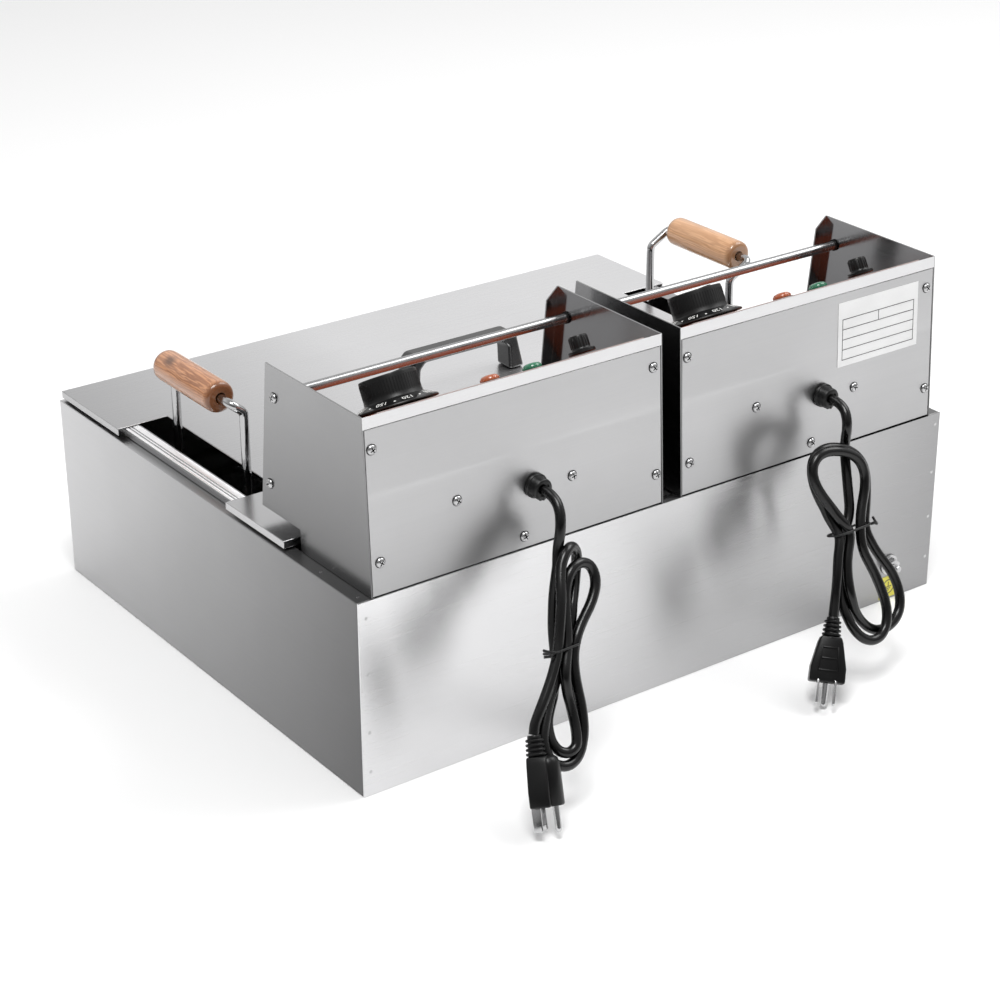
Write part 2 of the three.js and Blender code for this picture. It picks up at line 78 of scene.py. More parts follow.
CAMERA_PLACE = Vector((1.03244, 1.42255, 0.90247))
CAMERA_TURN = (144.066, 25.324, -0.28)      # azimuth, elevation and roll in degrees
LENS = 87.861
SENSOR = 36


def make_camera():
    azimuth, elevation, roll = (math.radians(v) for v in CAMERA_TURN)
    back = Vector((math.sin(azimuth) * math.cos(elevation),
                   -math.cos(azimuth) * math.cos(elevation), math.sin(elevation)))
    right = Vector((math.cos(azimuth), math.sin(azimuth), 0))
    up = back.cross(right)
    side = right * math.cos(roll) + up * math.sin(roll)
    head = up * math.cos(roll) - right * math.sin(roll)
    data = bpy.data.cameras.new("camera")
    data.lens = LENS
    data.sensor_width = SENSOR
    data.clip_end = 50
    camera = bpy.data.objects.new("camera", data)
    scene.collection.objects.link(camera)
    basis = Matrix((side, head, back)).transposed().to_4x4()
    camera.matrix_world = Matrix.Translation(CAMERA_PLACE) @ basis
    scene.camera = camera


make_camera()

# ---- materials --------------------------------------------------------------

class Finish:
    """A principled material with helpers for object-space patterns."""

    def __init__(self, name, color, rough, metal=0.0, **sockets):
        self.mat = bpy.data.materials.new(name)
        self.mat.use_nodes = True
        self.nt = self.mat.node_tree
        self.bsdf = self.nt.nodes["Principled BSDF"]
        self.set("Base Color", (*color, 1))
        self.set("Roughness", rough)
        self.set("Metallic", metal)
        for key, value in sockets.items():
            self.set(key.replace("_", " "), value)
        self.bumps = None

    def set(self, socket, value):
        self.bsdf.inputs[socket].default_value = value

    def node(self, kind, **inputs):
        n = self.nt.nodes.new(kind)
        for key, value in inputs.items():
            n.inputs[key].default_value = value
        return n

    def link(self, a, b):
        self.nt.links.new(a, b)

    def place(self, scale, turn=(0, 0, 0), move=(0, 0, 0)):
        texture = self.node("ShaderNodeTexCoord")
        mapping = self.node("ShaderNodeMapping", Scale=scale, Rotation=turn, Location=move)
        self.link(texture.outputs["Object"], mapping.inputs["Vector"])
        return mapping.outputs["Vector"]

    def noise(self, scale, detail):
        n = self.node("ShaderNodeTexNoise", Scale=1.0, Detail=detail)
        self.link(self.place(scale), n.inputs["Vector"])
        return n.outputs["Fac"]

    def remap(self, source, low, high, out_low, out_high):
        n = self.node("ShaderNodeMapRange")
        n.inputs["From Min"].default_value = low
        n.inputs["From Max"].default_value = high
        n.inputs["To Min"].default_value = out_low
        n.inputs["To Max"].default_value = out_high
        self.link(source, n.inputs["Value"])
        return n.outputs["Result"]

    def math(self, operation, first, second):
        n = self.nt.nodes.new("ShaderNodeMath")
        n.operation = operation
        for i, value in enumerate((first, second)):
            if isinstance(value, bpy.types.NodeSocket):
                self.link(value, n.inputs[i])
            else:
                n.inputs[i].default_value = value
        return n.outputs[0]

    def drift(self, axis, start, end, first, last):
        """A value that eases from first to last between two places along an axis."""
        texture = self.node("ShaderNodeTexCoord")
        parts = self.node("ShaderNodeSeparateXYZ")
        self.link(texture.outputs["Object"], parts.inputs[0])
        return self.remap(parts.outputs[axis], start, end, first, last)

    def ramp(self, source, stops):
        n = self.nt.nodes.new("ShaderNodeValToRGB")
        elements = n.color_ramp.elements
        while len(elements) < len(stops):
            elements.new(0.5)
        for element, (pos, color) in zip(elements, stops):
            element.position = pos
            element.color = (*color, 1)
        self.link(source, n.inputs["Fac"])
        return n.outputs["Color"]

    def mix(self, fac, a, b, mode="MIX"):
        n = self.nt.nodes.new("ShaderNodeMix")
        n.data_type = "RGBA"
        n.blend_type = mode
        for slot, value in ((0, fac), (6, a), (7, b)):
            if isinstance(value, bpy.types.NodeSocket):
                self.link(value, n.inputs[slot])
            else:
                n.inputs[slot].default_value = value
        return n.outputs[2]

    def bump(self, source, strength, distance):
        n = self.node("ShaderNodeBump", Strength=strength, Distance=distance)
        self.link(source, n.inputs["Height"])
        if self.bumps is not None:
            self.link(self.bumps, n.inputs["Normal"])
        self.bumps = n.outputs["Normal"]
        self.link(self.bumps, self.bsdf.inputs["Normal"])

    def color(self, socket):
        self.link(socket, self.bsdf.inputs["Base Color"])

    def rough(self, socket):
        self.link(socket, self.bsdf.inputs["Roughness"])


def brushed(name, level, rough, grain, bump=0.012, smudge=0.015, painted_light_fades=(), axis="Z", across=0.7):
    """Steel sheet: a fine one-way grain, faint wiping marks, and slow fades of tone that are painted
    reflection and shade.

    A fade is (axis, start, end, first, last): the tone is multiplied by first at start and by last at end,
    which paints reflection and shade into the colour.
    """
    f = Finish(name, (level,) * 3, rough, 1.0)
    fine = f.noise(grain, 4.0)
    cloud = f.noise((9, 9, 9), 3.0)
    f.rough(f.remap(fine, 0.3, 0.7, rough - 0.02, rough + 0.03))
    tone = f.remap(cloud, 0.3, 0.7, level - smudge, level + smudge)
    streak = f.remap(f.noise([g * 0.5 for g in grain], 2.0), 0.35, 0.65, 0.992, 1.008)
    tone = f.math("MULTIPLY", tone, streak)
    # painted reflection and shade: each fade lightens or darkens the sheet's colour along one axis
    for way, start, end, first, last in painted_light_fades:
        tone = f.math("MULTIPLY", tone, f.drift(way, start, end, first, last))
    cool = f.node("ShaderNodeCombineColor")
    for i, share in enumerate((0.992, 0.990, 1.0)):
        f.link(f.math("MULTIPLY", tone, share), cool.inputs[i])
    f.color(cool.outputs[0])
    f.bump(fine, bump, 0.00025)
    lay = f.node("ShaderNodeTangent")
    lay.direction_type = "RADIAL"
    lay.axis = axis
    f.link(lay.outputs[0], f.bsdf.inputs["Tangent"])
    f.set("Anisotropic", across)
    f.set("Anisotropic Rotation", 0.25)
    return f.mat


# The fades below are painted reflection and shade: each sheet's colour is lightened or darkened along an axis.
steel_back = brushed("brushed_steel_back", 0.70, 0.25, (5, 5, 2600), across=0.9,
                     painted_light_fades=[("X", 0.27, -0.27, 1.14, 0.46), ("Z", 0.0, 0.15, 0.92, 1.08)])
steel_side = brushed("brushed_steel_side", 0.49, 0.32, (5, 5, 2400),
                     painted_light_fades=[("Y", -0.22, 0.21, 1.16, 0.34), ("Z", 0.0, 0.15, 0.86, 1.06)])
steel_top = brushed("brushed_steel_top", 0.78, 0.28, (5, 2200, 5), axis="Y",
                    painted_light_fades=[("X", 0.27, 0.04, 0.62, 1.0)])
steel_deck = brushed("deck_steel", 0.52, 0.20, (5, 2200, 5), axis="Y")
steel_head = brushed("head_sheet_steel", 0.32, 0.22, (8, 8, 1900),
                     painted_light_fades=[("Z", 0.15, 0.28, 0.50, 1.06), ("Y", 0.06, 0.2, 1.06, 0.9)])
# the head's folded rear band: the head steel made much lighter, a painted highlight
steel_band_painted_highlight = brushed("folded_band_painted_highlight_steel", 0.80, 0.34, (5, 5, 2300))
# the inner sides of the wings: the head steel kept dark, a painted dark reflection
steel_wing_painted_reflection = brushed("wing_inner_painted_reflection_steel", 0.34, 0.12, (8, 8, 1900),
                     painted_light_fades=[("Z", 0.18, 0.28, 0.5, 1.0)])
steel_plate = brushed("back_plate_steel", 0.50, 0.32, (5, 5, 2300), across=0.5,
                      painted_light_fades=[("Z", 0.15, 0.20, 0.86, 1.0)])
steel_tank = brushed("tank_steel", 0.42, 0.24, (5, 1500, 5), axis="Y")
# the tank steel at full brightness for the rim strips: a painted highlight
rim_steel_painted_highlight = brushed("tank_rim_painted_highlight_steel", 1.0, 0.42, (5, 1500, 5), axis="Y")
steel_inner = brushed("plain_inner_steel", 0.45, 0.38, (30, 30, 900), 0.05, across=0.3)
steel_element = brushed("heated_steel", 0.26, 0.42, (120, 120, 120), 0.15, 0.08, across=0.0)


def polished(name, level, rough):
    f = Finish(name, (level, level, level * 1.01), rough, 1.0)
    wave = f.noise((160, 160, 160), 2.0)
    f.rough(f.remap(wave, 0.3, 0.7, rough * 0.7, rough * 1.5))
    f.bump(f.noise((60, 60, 60), 2.0), 0.04, 0.0002)
    return f.mat


chrome = polished("drawn_chrome", 0.46, 0.12)
rail_steel = polished("rail_steel", 0.38, 0.22)
screw_metal = polished("zinc_screw", 0.50, 0.24)
# near-black metal for screw recesses and the rings round screw heads and rail ends: painted shade
painted_shade_metal = polished("screw_recess_painted_shade", 0.03, 0.5)
nickel = polished("nickel_pin", 0.55, 0.16)


def moulded(name, level, rough, grain=900, bump=0.12, specular=0.5):
    f = Finish(name, (level, level, level * 1.04), rough, 0.0, Specular_IOR_Level=specular)
    pores = f.noise((grain,) * 3, 2.0)
    cloud = f.noise((35, 35, 35), 3.0)
    f.rough(f.remap(cloud, 0.3, 0.7, rough - 0.06, rough + 0.08))
    f.bump(pores, bump, 0.0002)
    return f.mat


lead_vinyl = moulded("lead_vinyl", 0.0015, 0.24, 600, 0.04, 0.42)
plug_vinyl = moulded("plug_vinyl", 0.003, 0.34, 1300, 0.14, 0.30)
bushing_nylon = moulded("bushing_nylon", 0.003, 0.34, 800, 0.08, 0.4)
handle_phenolic = moulded("handle_phenolic", 0.006, 0.16, 500, 0.03, 0.8)
knob_plastic = moulded("knob_plastic", 0.004, 0.36, 1500, 0.14, 0.32)
dial_gloss = moulded("dial_gloss", 0.004, 0.10, 500, 0.02, 0.6)
tie_plastic = moulded("tie_plastic", 0.004, 0.40, 1500, 0.10, 0.4)
ceramic = moulded("glazed_ceramic", 0.72, 0.30, 400, 0.05)


def film(name, color, rough, border=None):
    """A printed film or paper. border is (start, end, colour): between these places along y it turns to it."""
    f = Finish(name, color, rough)
    speck = f.noise((1500, 1500, 1500), 2.0)
    cloud = f.noise((25, 25, 25), 2.0)
    tone = f.mix(f.remap(cloud, 0.3, 0.7, 0, 1), (*[c * 0.94 for c in color], 1),
                 (*[min(c * 1.04, 1) for c in color], 1))
    if border:
        start, end, edge = border
        tone = f.mix(f.drift("Y", start, end, 0.0, 1.0), tone, (*edge, 1))
    f.color(tone)
    f.bump(speck, 0.05, 0.0001)
    return f.mat


PALE_EDGE = (at(0, 201, 0).y, at(0, 205.5, 0).y, (0.50, 0.40, 0.38))
panel_film = film("panel_film", (0.40, 0.080, 0.030), 0.35, PALE_EDGE)
print_white = film("print_white", (0.80, 0.80, 0.78), 0.5)
label_paper = film("label_paper", (0.86, 0.86, 0.86), 0.45)
label_ink = film("label_ink", (0.06, 0.06, 0.06), 0.5)
label_yellow = film("label_yellow", (0.86, 0.78, 0.10), 0.45)


def lens(name, color):
    f = Finish(name, color, 0.12, 0.0, Coat_Weight=0.6, Transmission_Weight=0.25, IOR=1.49)
    f.bump(f.noise((700, 700, 700), 1.0), 0.06, 0.0002)
    return f.mat


amber_lens = lens("amber_lens", (0.48, 0.12, 0.04))
green_lens = lens("green_lens", (0.02, 0.20, 0.10))


def copper():
    f = Finish("copper_tube", (0.70, 0.38, 0.24), 0.30, 1.0)
    f.bump(f.noise((300, 300, 300), 3.0), 0.08, 0.0002)
    return f.mat


copper_tube = copper()


GRIP_R = 12.2
GRIP_LEN = 82.0
ROD_R = 3.4


def timber(name, centre, pale, dark, ring, knot=None):
    """Turned beech: growth rings cut lengthwise, fine pores along the grip and darker end grain."""
    f = Finish(name, pale, 0.30, 0.0, Coat_Weight=0.7, Coat_Roughness=0.10)
    cx, cy, cz = centre
    grain = f.node("ShaderNodeTexWave", Scale=ring, Distortion=5.5, Detail=2.5)
    grain.inputs["Detail Scale"].default_value = 1.6
    grain.wave_type = "RINGS"
    grain.rings_direction = "Y"
    heart = f.place((1, 0.10, 1), (0.05, 0, 0.04), (-cx + 0.011, -cy * 0.10, -cz + 0.016))
    f.link(heart, grain.inputs["Vector"])
    base = f.ramp(grain.outputs["Fac"], [(0.0, dark), (0.35, pale), (0.8, pale), (1.0, dark)])
    streak = f.remap(f.noise((900, 26, 900), 3.0), 0.35, 0.65, 0, 0.5)
    tone = f.mix(streak, base, (*[c * 0.72 for c in dark], 1))
    cloud = f.remap(f.noise((45, 16, 45), 2.0), 0.3, 0.75, 0.0, 0.55)
    tone = f.mix(cloud, tone, (*[c * 0.95 for c in pale], 1))
    if knot:
        (kx, ky, kz), radius = knot
        gap = f.node("ShaderNodeVectorMath")
        gap.operation = "LENGTH"
        f.link(f.place((1, 0.7, 1), (0, 0, 0), (-kx, -ky * 0.7, -kz)), gap.inputs[0])
        spot = f.remap(gap.outputs["Value"], radius * 0.3, radius, 0.85, 0.0)
        tone = f.mix(spot, tone, (*[c * 0.35 for c in dark], 1))
    near, far = cy + GRIP_LEN * MM / 2, cy - GRIP_LEN * MM / 2
    for end, inside in ((near, -1), (far, 1)):
        scorch = f.drift("Y", end + inside * 0.0055, end + inside * 0.001, 0.0, 0.9)
        tone = f.mix(scorch, tone, (*[c * 0.60 for c in dark], 1))
    f.color(tone)
    f.bump(f.noise((1100, 40, 1100), 2.0), 0.16, 0.0003)
    return f.mat


# ---- modelling helpers --------------------------------------------------------

def finish_mesh(bm, name, material, sharp=38.0, keep_flat=False):
    """Closes off a bmesh as an object at the origin."""
    mesh = bpy.data.meshes.new(name)
    if not keep_flat:
        for face in bm.faces:
            face.smooth = True
    bm.to_mesh(mesh)
    bm.free()
    if not keep_flat:
        mesh.set_sharp_from_angle(angle=math.radians(sharp))
    piece = bpy.data.objects.new(name, mesh)
    scene.collection.objects.link(piece)
    for m in (material if isinstance(material, (list, tuple)) else [material]):
        mesh.materials.append(m)
    return piece


SHARP_FOLD = math.radians(28.0)


def bevel_edges(bm, width, segments):
    """Breaks every edge that folds by more than SHARP_FOLD and gives back the new faces."""
    edges = [e for e in bm.edges if len(e.link_faces) == 2 and e.calc_face_angle(0) > SHARP_FOLD]
    made = bmesh.ops.bevel(bm, geom=edges, offset=width, offset_type="OFFSET", segments=segments,
                           profile=0.5, affect="EDGES", material=-1, clamp_overlap=True)
    return made["faces"]


def softened(node, width, material, segments=2, pick=None):
    """A CAD node's sheet with its edges broken, shown in the node's place. pick gives a face its finish."""
    bm = bmesh.new()
    bm.from_mesh(nodes[node].data)
    bmesh.ops.remove_doubles(bm, verts=bm.verts, dist=2e-6)
    bmesh.ops.dissolve_limit(bm, angle_limit=math.radians(1.0), verts=bm.verts, edges=bm.edges)
    for face in bm.faces:
        face.smooth = False
        face.material_index = 0
    made = set(bevel_edges(bm, width * MM, segments))
    for face in bm.faces:
        face.smooth = face in made
        if pick:
            face.material_index = pick(face.calc_center_median() / MM, face.normal)
    piece = finish_mesh(bm, node + "_sheet", material, keep_flat=True)
    return stand_for(piece, node)


def body_of(node):
    return nodes[node]["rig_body"]


def stand_for(piece, *names):
    """Shows a piece in the place of CAD nodes of one body."""
    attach(piece, body_of(names[0]))
    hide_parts(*names)
    return piece


def frame_of(origin, axis, across=None):
    """A matrix whose local z runs along axis from origin."""
    z = axis.normalized()
    x = (across or (X if abs(z.x) < 0.9 else Y)).normalized()
    y = z.cross(x).normalized()
    x = y.cross(z)
    basis = Matrix((x, y, z)).transposed().to_4x4()
    return Matrix.Translation(origin) @ basis


def lathe(bm, profile, segments, matrix, material=0):
    """Spins an outline of (radius, height) millimetres about the local z of matrix."""
    made = bmesh.new()
    verts = [made.verts.new((r * MM, 0, h * MM)) for r, h in profile]
    edges = [made.edges.new(pair) for pair in zip(verts, verts[1:])]
    bmesh.ops.spin(made, geom=verts + edges, axis=(0, 0, 1), cent=(0, 0, 0), steps=segments, angle=TAU,
                   use_merge=True)
    bmesh.ops.remove_doubles(made, verts=made.verts, dist=1e-6)
    bmesh.ops.recalc_face_normals(made, faces=made.faces)
    merge_into(bm, made, matrix, material)


def merge_into(bm, made, matrix=None, material=0):
    """Adds made to bm and frees it. material None keeps the faces' own finishes."""
    if matrix is not None:
        bmesh.ops.transform(made, matrix=matrix, verts=made.verts)
    if material is not None:
        for face in made.faces:
            face.material_index = material
    mesh = bpy.data.meshes.new("part")
    made.to_mesh(mesh)
    made.free()
    bm.from_mesh(mesh)
    bpy.data.meshes.remove(mesh)


def slab(bm, low, high, width=0.0, matrix=None, segments=2, material=0):
    """A box between two corners in millimetres, its edges broken by width."""
    made = bmesh.new()
    bmesh.ops.create_cube(made, size=1.0)
    size = [(h - l) * MM for l, h in zip(low, high)]
    centre = [(h + l) / 2 * MM for l, h in zip(low, high)]
    bmesh.ops.scale(made, vec=size, verts=made.verts)
    bmesh.ops.translate(made, vec=centre, verts=made.verts)
    if width:
        bevel_edges(made, width * MM, segments)
    merge_into(bm, made, matrix, material)


def prism(bm, outline, low, high, width=0.0, matrix=None, segments=2, material=0):
    """An outline in the local x-y plane raised from low to high along local z."""
    made = bmesh.new()
    verts = [made.verts.new((x * MM, y * MM, low * MM)) for x, y in outline]
    face = made.faces.new(verts)
    grown = bmesh.ops.extrude_face_region(made, geom=[face])
    bmesh.ops.translate(made, vec=(0, 0, (high - low) * MM),
                        verts=[g for g in grown["geom"] if isinstance(g, bmesh.types.BMVert)])
    bmesh.ops.recalc_face_normals(made, faces=made.faces)
    if width:
        bevel_edges(made, width * MM, segments)
    merge_into(bm, made, matrix, material)


def spline(points, step):
    """Centripetal Catmull-Rom through points, sampled about every step."""
    out = []
    count = len(points)
    for i in range(count - 1):
        p1, p2 = points[i], points[i + 1]
        p0 = points[i - 1] if i > 0 else p1 * 2 - p2
        p3 = points[i + 2] if i + 2 < count else p2 * 2 - p1
        t0 = 0.0
        t1 = t0 + (p1 - p0).length ** 0.5
        t2 = t1 + (p2 - p1).length ** 0.5
        t3 = t2 + (p3 - p2).length ** 0.5
        pieces = max(1, round((p2 - p1).length / step))
        for k in range(pieces):
            t = t1 + (t2 - t1) * k / pieces
            a1 = p0 * ((t1 - t) / (t1 - t0)) + p1 * ((t - t0) / (t1 - t0))
            a2 = p1 * ((t2 - t) / (t2 - t1)) + p2 * ((t - t1) / (t2 - t1))
            a3 = p2 * ((t3 - t) / (t3 - t2)) + p3 * ((t - t2) / (t3 - t2))
            b1 = a1 * ((t2 - t) / (t2 - t0)) + a2 * ((t - t0) / (t2 - t0))
            b2 = a2 * ((t3 - t) / (t3 - t1)) + a3 * ((t - t1) / (t3 - t1))
            out.append(b1 * ((t2 - t) / (t2 - t1)) + b2 * ((t - t1) / (t2 - t1)))
    out.append(points[-1])
    return out


def rounded(corners, radius, steps=8, closed=False):
    """A path through corners with each bend turned to radius."""
    out = []
    count = len(corners)
    for i, p in enumerate(corners):
        if not closed and i in (0, count - 1):
            out.append(p)
            continue
        before, after = corners[i - 1], corners[(i + 1) % count]
        u, v = (before - p).normalized(), (after - p).normalized()
        half = u.angle(v) / 2
        room = 0.49 * min((before - p).length, (after - p).length)
        trim = min(radius / math.tan(half), room)
        bow = trim * math.tan(half)
        centre = p + (u + v).normalized() * (bow / math.sin(half))
        a, b = p + u * trim - centre, p + v * trim - centre
        for k in range(steps + 1):
            out.append(centre + a.slerp(b, k / steps, a).normalized() * a.length)
    return out


def rod(name, points, radius, material, closed=False, sides=5):
    """A round bar or lead along a path: one curve with a round section."""
    curve = bpy.data.curves.new(name, "CURVE")
    curve.dimensions = "3D"
    curve.bevel_depth = radius
    curve.bevel_resolution = sides
    curve.use_fill_caps = not closed
    line = curve.splines.new("POLY")
    line.points.add(len(points) - 1)
    for target, p in zip(line.points, points):
        target.co = (*p, 1)
    line.use_cyclic_u = closed
    line.use_smooth = True
    curve.materials.append(material)
    piece = bpy.data.objects.new(name, curve)
    scene.collection.objects.link(piece)
    return piece


# ---- mains leads --------------------------------------------------------------

HEAD_X = {"a": 133.45, "b": -133.45}
LEAD_D = 0.0075
# Each hank lies in a plane that leans out from the casing: x across, q down the fall, w out of it.
# plug: where the lead enters the plug; way: the plug's direction, both as (x, q); twist: the plug's turn
# about that direction in radians; earth: how far the earth pin's axis is from the blades' near edges;
# band: the tie's middle and half-width along x, the same along w, and the side that its ends stand on.
HANKS = {
    "a": {"tie": at(149.11, 279.86, 105.5), "fall": Vector((0, 0.4472, -0.8944)),
          "out": Vector((0, 0.8944, 0.4472)), "plug": (39.4, 48.4), "way": (0.171, 0.985),
          "twist": 2.4, "earth": 9.0, "band": (-0.5, 12.0, -0.3, 8.6, 1)},
    "b": {"tie": at(-125.86, 271.35, 112.4), "fall": Vector((0, 0.3933, -0.9194)),
          "out": Vector((0, 0.9194, 0.3933)), "plug": (35.2, 57.6), "way": (0.418, 0.908),
          "twist": 0.6, "earth": 5.0, "band": (2.4, 17.0, 0.3, 8.1, -1)},
}
ROUTES = {
    "a": [
    (-27.3, -105.4, -10.2), (-27.2, -101.5, -3.9), (-26.9, -95.9, 1.1), (-25.8, -89.0, 3.5),
    (-24.2, -81.7, 3.4), (-22.8, -74.7, 1.3), (-21.4, -68.0, -1.8), (-19.8, -61.1, -4.0),
    (-17.7, -53.9, -4.7), (-14.5, -47.1, -5.0), (-11.1, -40.5, -5.0), (-7.8, -33.8, -4.7),
    (-4.9, -26.9, -4.4), (-2.2, -19.9, -4.2), (0.1, -12.8, -4.0), (2.1, -5.6, -3.6), (4.0, 1.6, -2.8),
    (5.7, 8.9, -1.9), (8.0, 16.0, -1.7), (12.4, 22.0, -1.5), (17.5, 27.6, -1.5), (22.0, 33.5, -1.1),
    (26.3, 39.6, -0.5), (30.1, 46.0, -0.1), (33.1, 52.9, 0.1), (34.0, 60.3, 0.4), (32.5, 67.6, 0.7),
    (27.9, 73.3, 0.8), (21.0, 75.9, 0.6), (13.7, 74.8, -0.1), (7.6, 70.8, -0.9), (3.2, 64.7, -1.0),
    (0.2, 57.8, -0.6), (-1.5, 50.6, -0.2), (-2.7, 43.2, -0.0), (-3.4, 35.7, 0.1), (-3.7, 28.3, 0.3),
    (-4.3, 20.8, 0.6), (-5.6, 13.4, 0.7), (-7.6, 6.2, 1.1), (-10.6, -0.6, 1.8), (-14.9, -6.7, 1.8),
    (-20.2, -11.9, 1.1), (-25.9, -16.7, 0.4), (-31.6, -21.6, 0.0), (-36.5, -27.2, -0.1),
    (-40.4, -33.6, -0.1), (-41.9, -40.9, -0.0), (-39.6, -47.8, 0.5), (-33.2, -51.2, 1.8),
    (-26.0, -50.6, 3.1), (-19.8, -46.5, 3.4), (-15.8, -40.2, 2.6), (-12.9, -33.4, 2.1),
    (-10.6, -26.2, 2.1), (-8.6, -19.0, 2.4), (-6.6, -11.8, 3.0), (-4.2, -4.8, 3.4), (-1.2, 2.1, 4.0),
    (2.4, 8.6, 4.8), (5.5, 15.4, 5.4), (6.4, 22.6, 4.1), (6.1, 29.8, 2.1), (5.6, 37.2, 1.1),
    (5.6, 44.7, 0.7), (6.4, 52.1, 1.0), (8.2, 59.4, 1.8), (11.0, 65.3, 1.9), (17.0, 67.8, 1.1),
    (22.9, 65.1, -0.4), (25.9, 58.2, -2.0), (24.9, 49.7, -4.1), (22.1, 42.9, -5.7), (17.9, 36.7, -6.3),
    (13.4, 30.8, -6.8), (9.5, 24.5, -7.7), (5.8, 18.0, -8.4), (2.0, 11.6, -7.7), (-1.8, 5.4, -5.8),
    (-6.1, -0.6, -4.8), (-11.0, -6.2, -5.1), (-15.2, -12.4, -5.1), (-18.3, -19.2, -4.7),
    (-21.5, -25.9, -5.3), (-25.7, -31.9, -7.0), (-29.8, -37.9, -8.7), (-33.2, -44.5, -9.4),
    (-36.2, -51.4, -9.0), (-36.5, -58.2, -6.5), (-32.5, -62.7, -2.3), (-26.4, -63.5, 1.8),
    (-20.2, -60.0, 3.6), (-15.4, -54.3, 3.9), (-11.9, -47.7, 4.8), (-9.0, -40.9, 5.9), (-6.7, -33.8, 6.3),
    (-4.3, -26.7, 6.1), (-1.8, -19.7, 5.6), (0.7, -12.6, 4.9), (3.4, -5.7, 4.4), (6.6, 1.1, 4.3),
    (10.5, 7.5, 4.3), (14.8, 13.6, 4.2), (19.3, 19.4, 4.0), (24.0, 25.1, 3.7), (28.7, 30.7, 3.2),
    (33.2, 36.4, 2.2), (37.0, 42.2, 0.8), (39.3, 48.1, 0.0),
    ],
    "b": [
    (-19.2, -94.9, -11.4), (-19.2, -91.3, -4.9), (-18.8, -85.8, 0.2), (-17.3, -78.8, 2.3),
    (-16.4, -71.5, 0.9), (-17.1, -65.3, -3.2), (-17.7, -58.9, -7.0), (-16.6, -51.6, -7.9),
    (-14.5, -44.4, -7.1), (-12.3, -37.3, -6.0), (-10.2, -30.1, -5.1), (-8.2, -22.9, -4.3),
    (-6.4, -15.6, -3.9), (-3.5, -8.7, -3.8), (0.7, -2.4, -3.8), (4.2, 4.2, -3.8), (6.8, 11.2, -3.8),
    (9.3, 18.3, -3.8), (12.0, 25.4, -3.8), (14.8, 32.4, -3.8), (17.7, 39.3, -3.7), (20.5, 46.2, -3.1),
    (22.4, 53.3, -1.5), (22.7, 60.6, 0.5), (21.5, 67.8, 1.7), (18.4, 74.6, 2.5), (13.5, 80.3, 3.1),
    (6.8, 83.4, 3.5), (-0.6, 82.8, 3.8), (-6.8, 78.6, 3.8), (-10.9, 72.4, 3.8), (-12.9, 65.1, 3.8),
    (-13.2, 57.6, 3.7), (-12.3, 50.2, 3.6), (-11.0, 42.8, 3.5), (-9.2, 35.5, 3.4), (-6.9, 28.3, 3.4),
    (-4.6, 21.1, 3.5), (-3.6, 13.7, 3.7), (-4.3, 6.2, 3.8), (-6.2, -1.0, 3.8), (-9.0, -8.0, 3.5),
    (-12.3, -14.8, 3.4), (-15.8, -21.4, 3.6), (-18.4, -28.4, 4.4), (-19.5, -35.8, 5.4),
    (-18.3, -43.1, 6.3), (-14.6, -49.6, 6.9), (-8.9, -54.4, 7.2), (-2.2, -57.8, 7.1), (5.0, -60.1, 6.8),
    (12.4, -61.1, 6.2), (19.7, -59.6, 5.4), (25.1, -54.6, 4.5), (27.1, -47.5, 4.0), (26.2, -40.0, 3.8),
    (23.6, -33.0, 3.7), (20.2, -26.2, 3.8), (16.8, -19.6, 4.1), (13.6, -12.8, 4.9), (9.9, -6.3, 5.3),
    (5.9, 0.3, 4.1), (6.9, 6.9, 3.7), (10.2, 13.7, 3.6), (13.2, 20.6, 3.6), (15.2, 27.8, 3.5),
    (16.6, 35.2, 3.7), (17.2, 42.7, 3.7), (16.6, 50.1, 2.9), (14.8, 57.1, 1.0), (11.6, 63.7, -0.8),
    (7.2, 69.7, -2.2), (2.0, 74.9, -3.2), (-4.5, 78.7, -3.7), (-11.8, 80.1, -3.8), (-19.3, 79.1, -3.8),
    (-26.0, 75.9, -3.8), (-31.3, 70.6, -3.8), (-34.2, 63.7, -3.8), (-35.0, 56.3, -3.8),
    (-34.1, 48.8, -3.8), (-31.9, 41.6, -3.8), (-28.7, 34.8, -3.8), (-25.0, 28.3, -3.8),
    (-21.6, 21.6, -3.8), (-18.9, 14.5, -3.7), (-17.0, 7.3, -3.7), (-17.2, -0.2, -3.8), (-19.8, -7.2, -3.9),
    (-22.5, -14.2, -3.8), (-24.5, -21.4, -3.2), (-26.0, -28.8, -2.5), (-26.5, -36.2, -1.7),
    (-25.0, -43.5, -1.0), (-21.3, -50.1, -0.6), (-15.9, -55.2, -0.5), (-9.4, -59.0, -0.6),
    (-2.3, -61.5, -0.9), (5.1, -62.5, -1.5), (12.4, -61.1, -2.3), (18.1, -56.5, -3.2), (20.9, -49.6, -3.8),
    (21.6, -42.1, -4.0), (20.9, -34.7, -4.1), (19.2, -27.3, -4.0), (17.3, -20.1, -3.5),
    (16.0, -12.7, -2.5), (14.5, -5.6, -0.7), (14.3, 1.3, 2.0), (16.9, 8.3, 3.2), (20.1, 15.1, 3.2),
    (22.7, 22.1, 3.1), (24.9, 29.3, 2.6), (26.8, 36.5, 1.5), (28.9, 43.6, 0.3), (31.9, 50.5, 0.0),
    (35.1, 57.3, 0.0),
    ],
}


def in_hank(tag, x, q, w):
    """A place in a hank's plane, in frame metres."""
    h = HANKS[tag]
    return h["tie"] + (X * x + h["fall"] * q + h["out"] * w) * MM


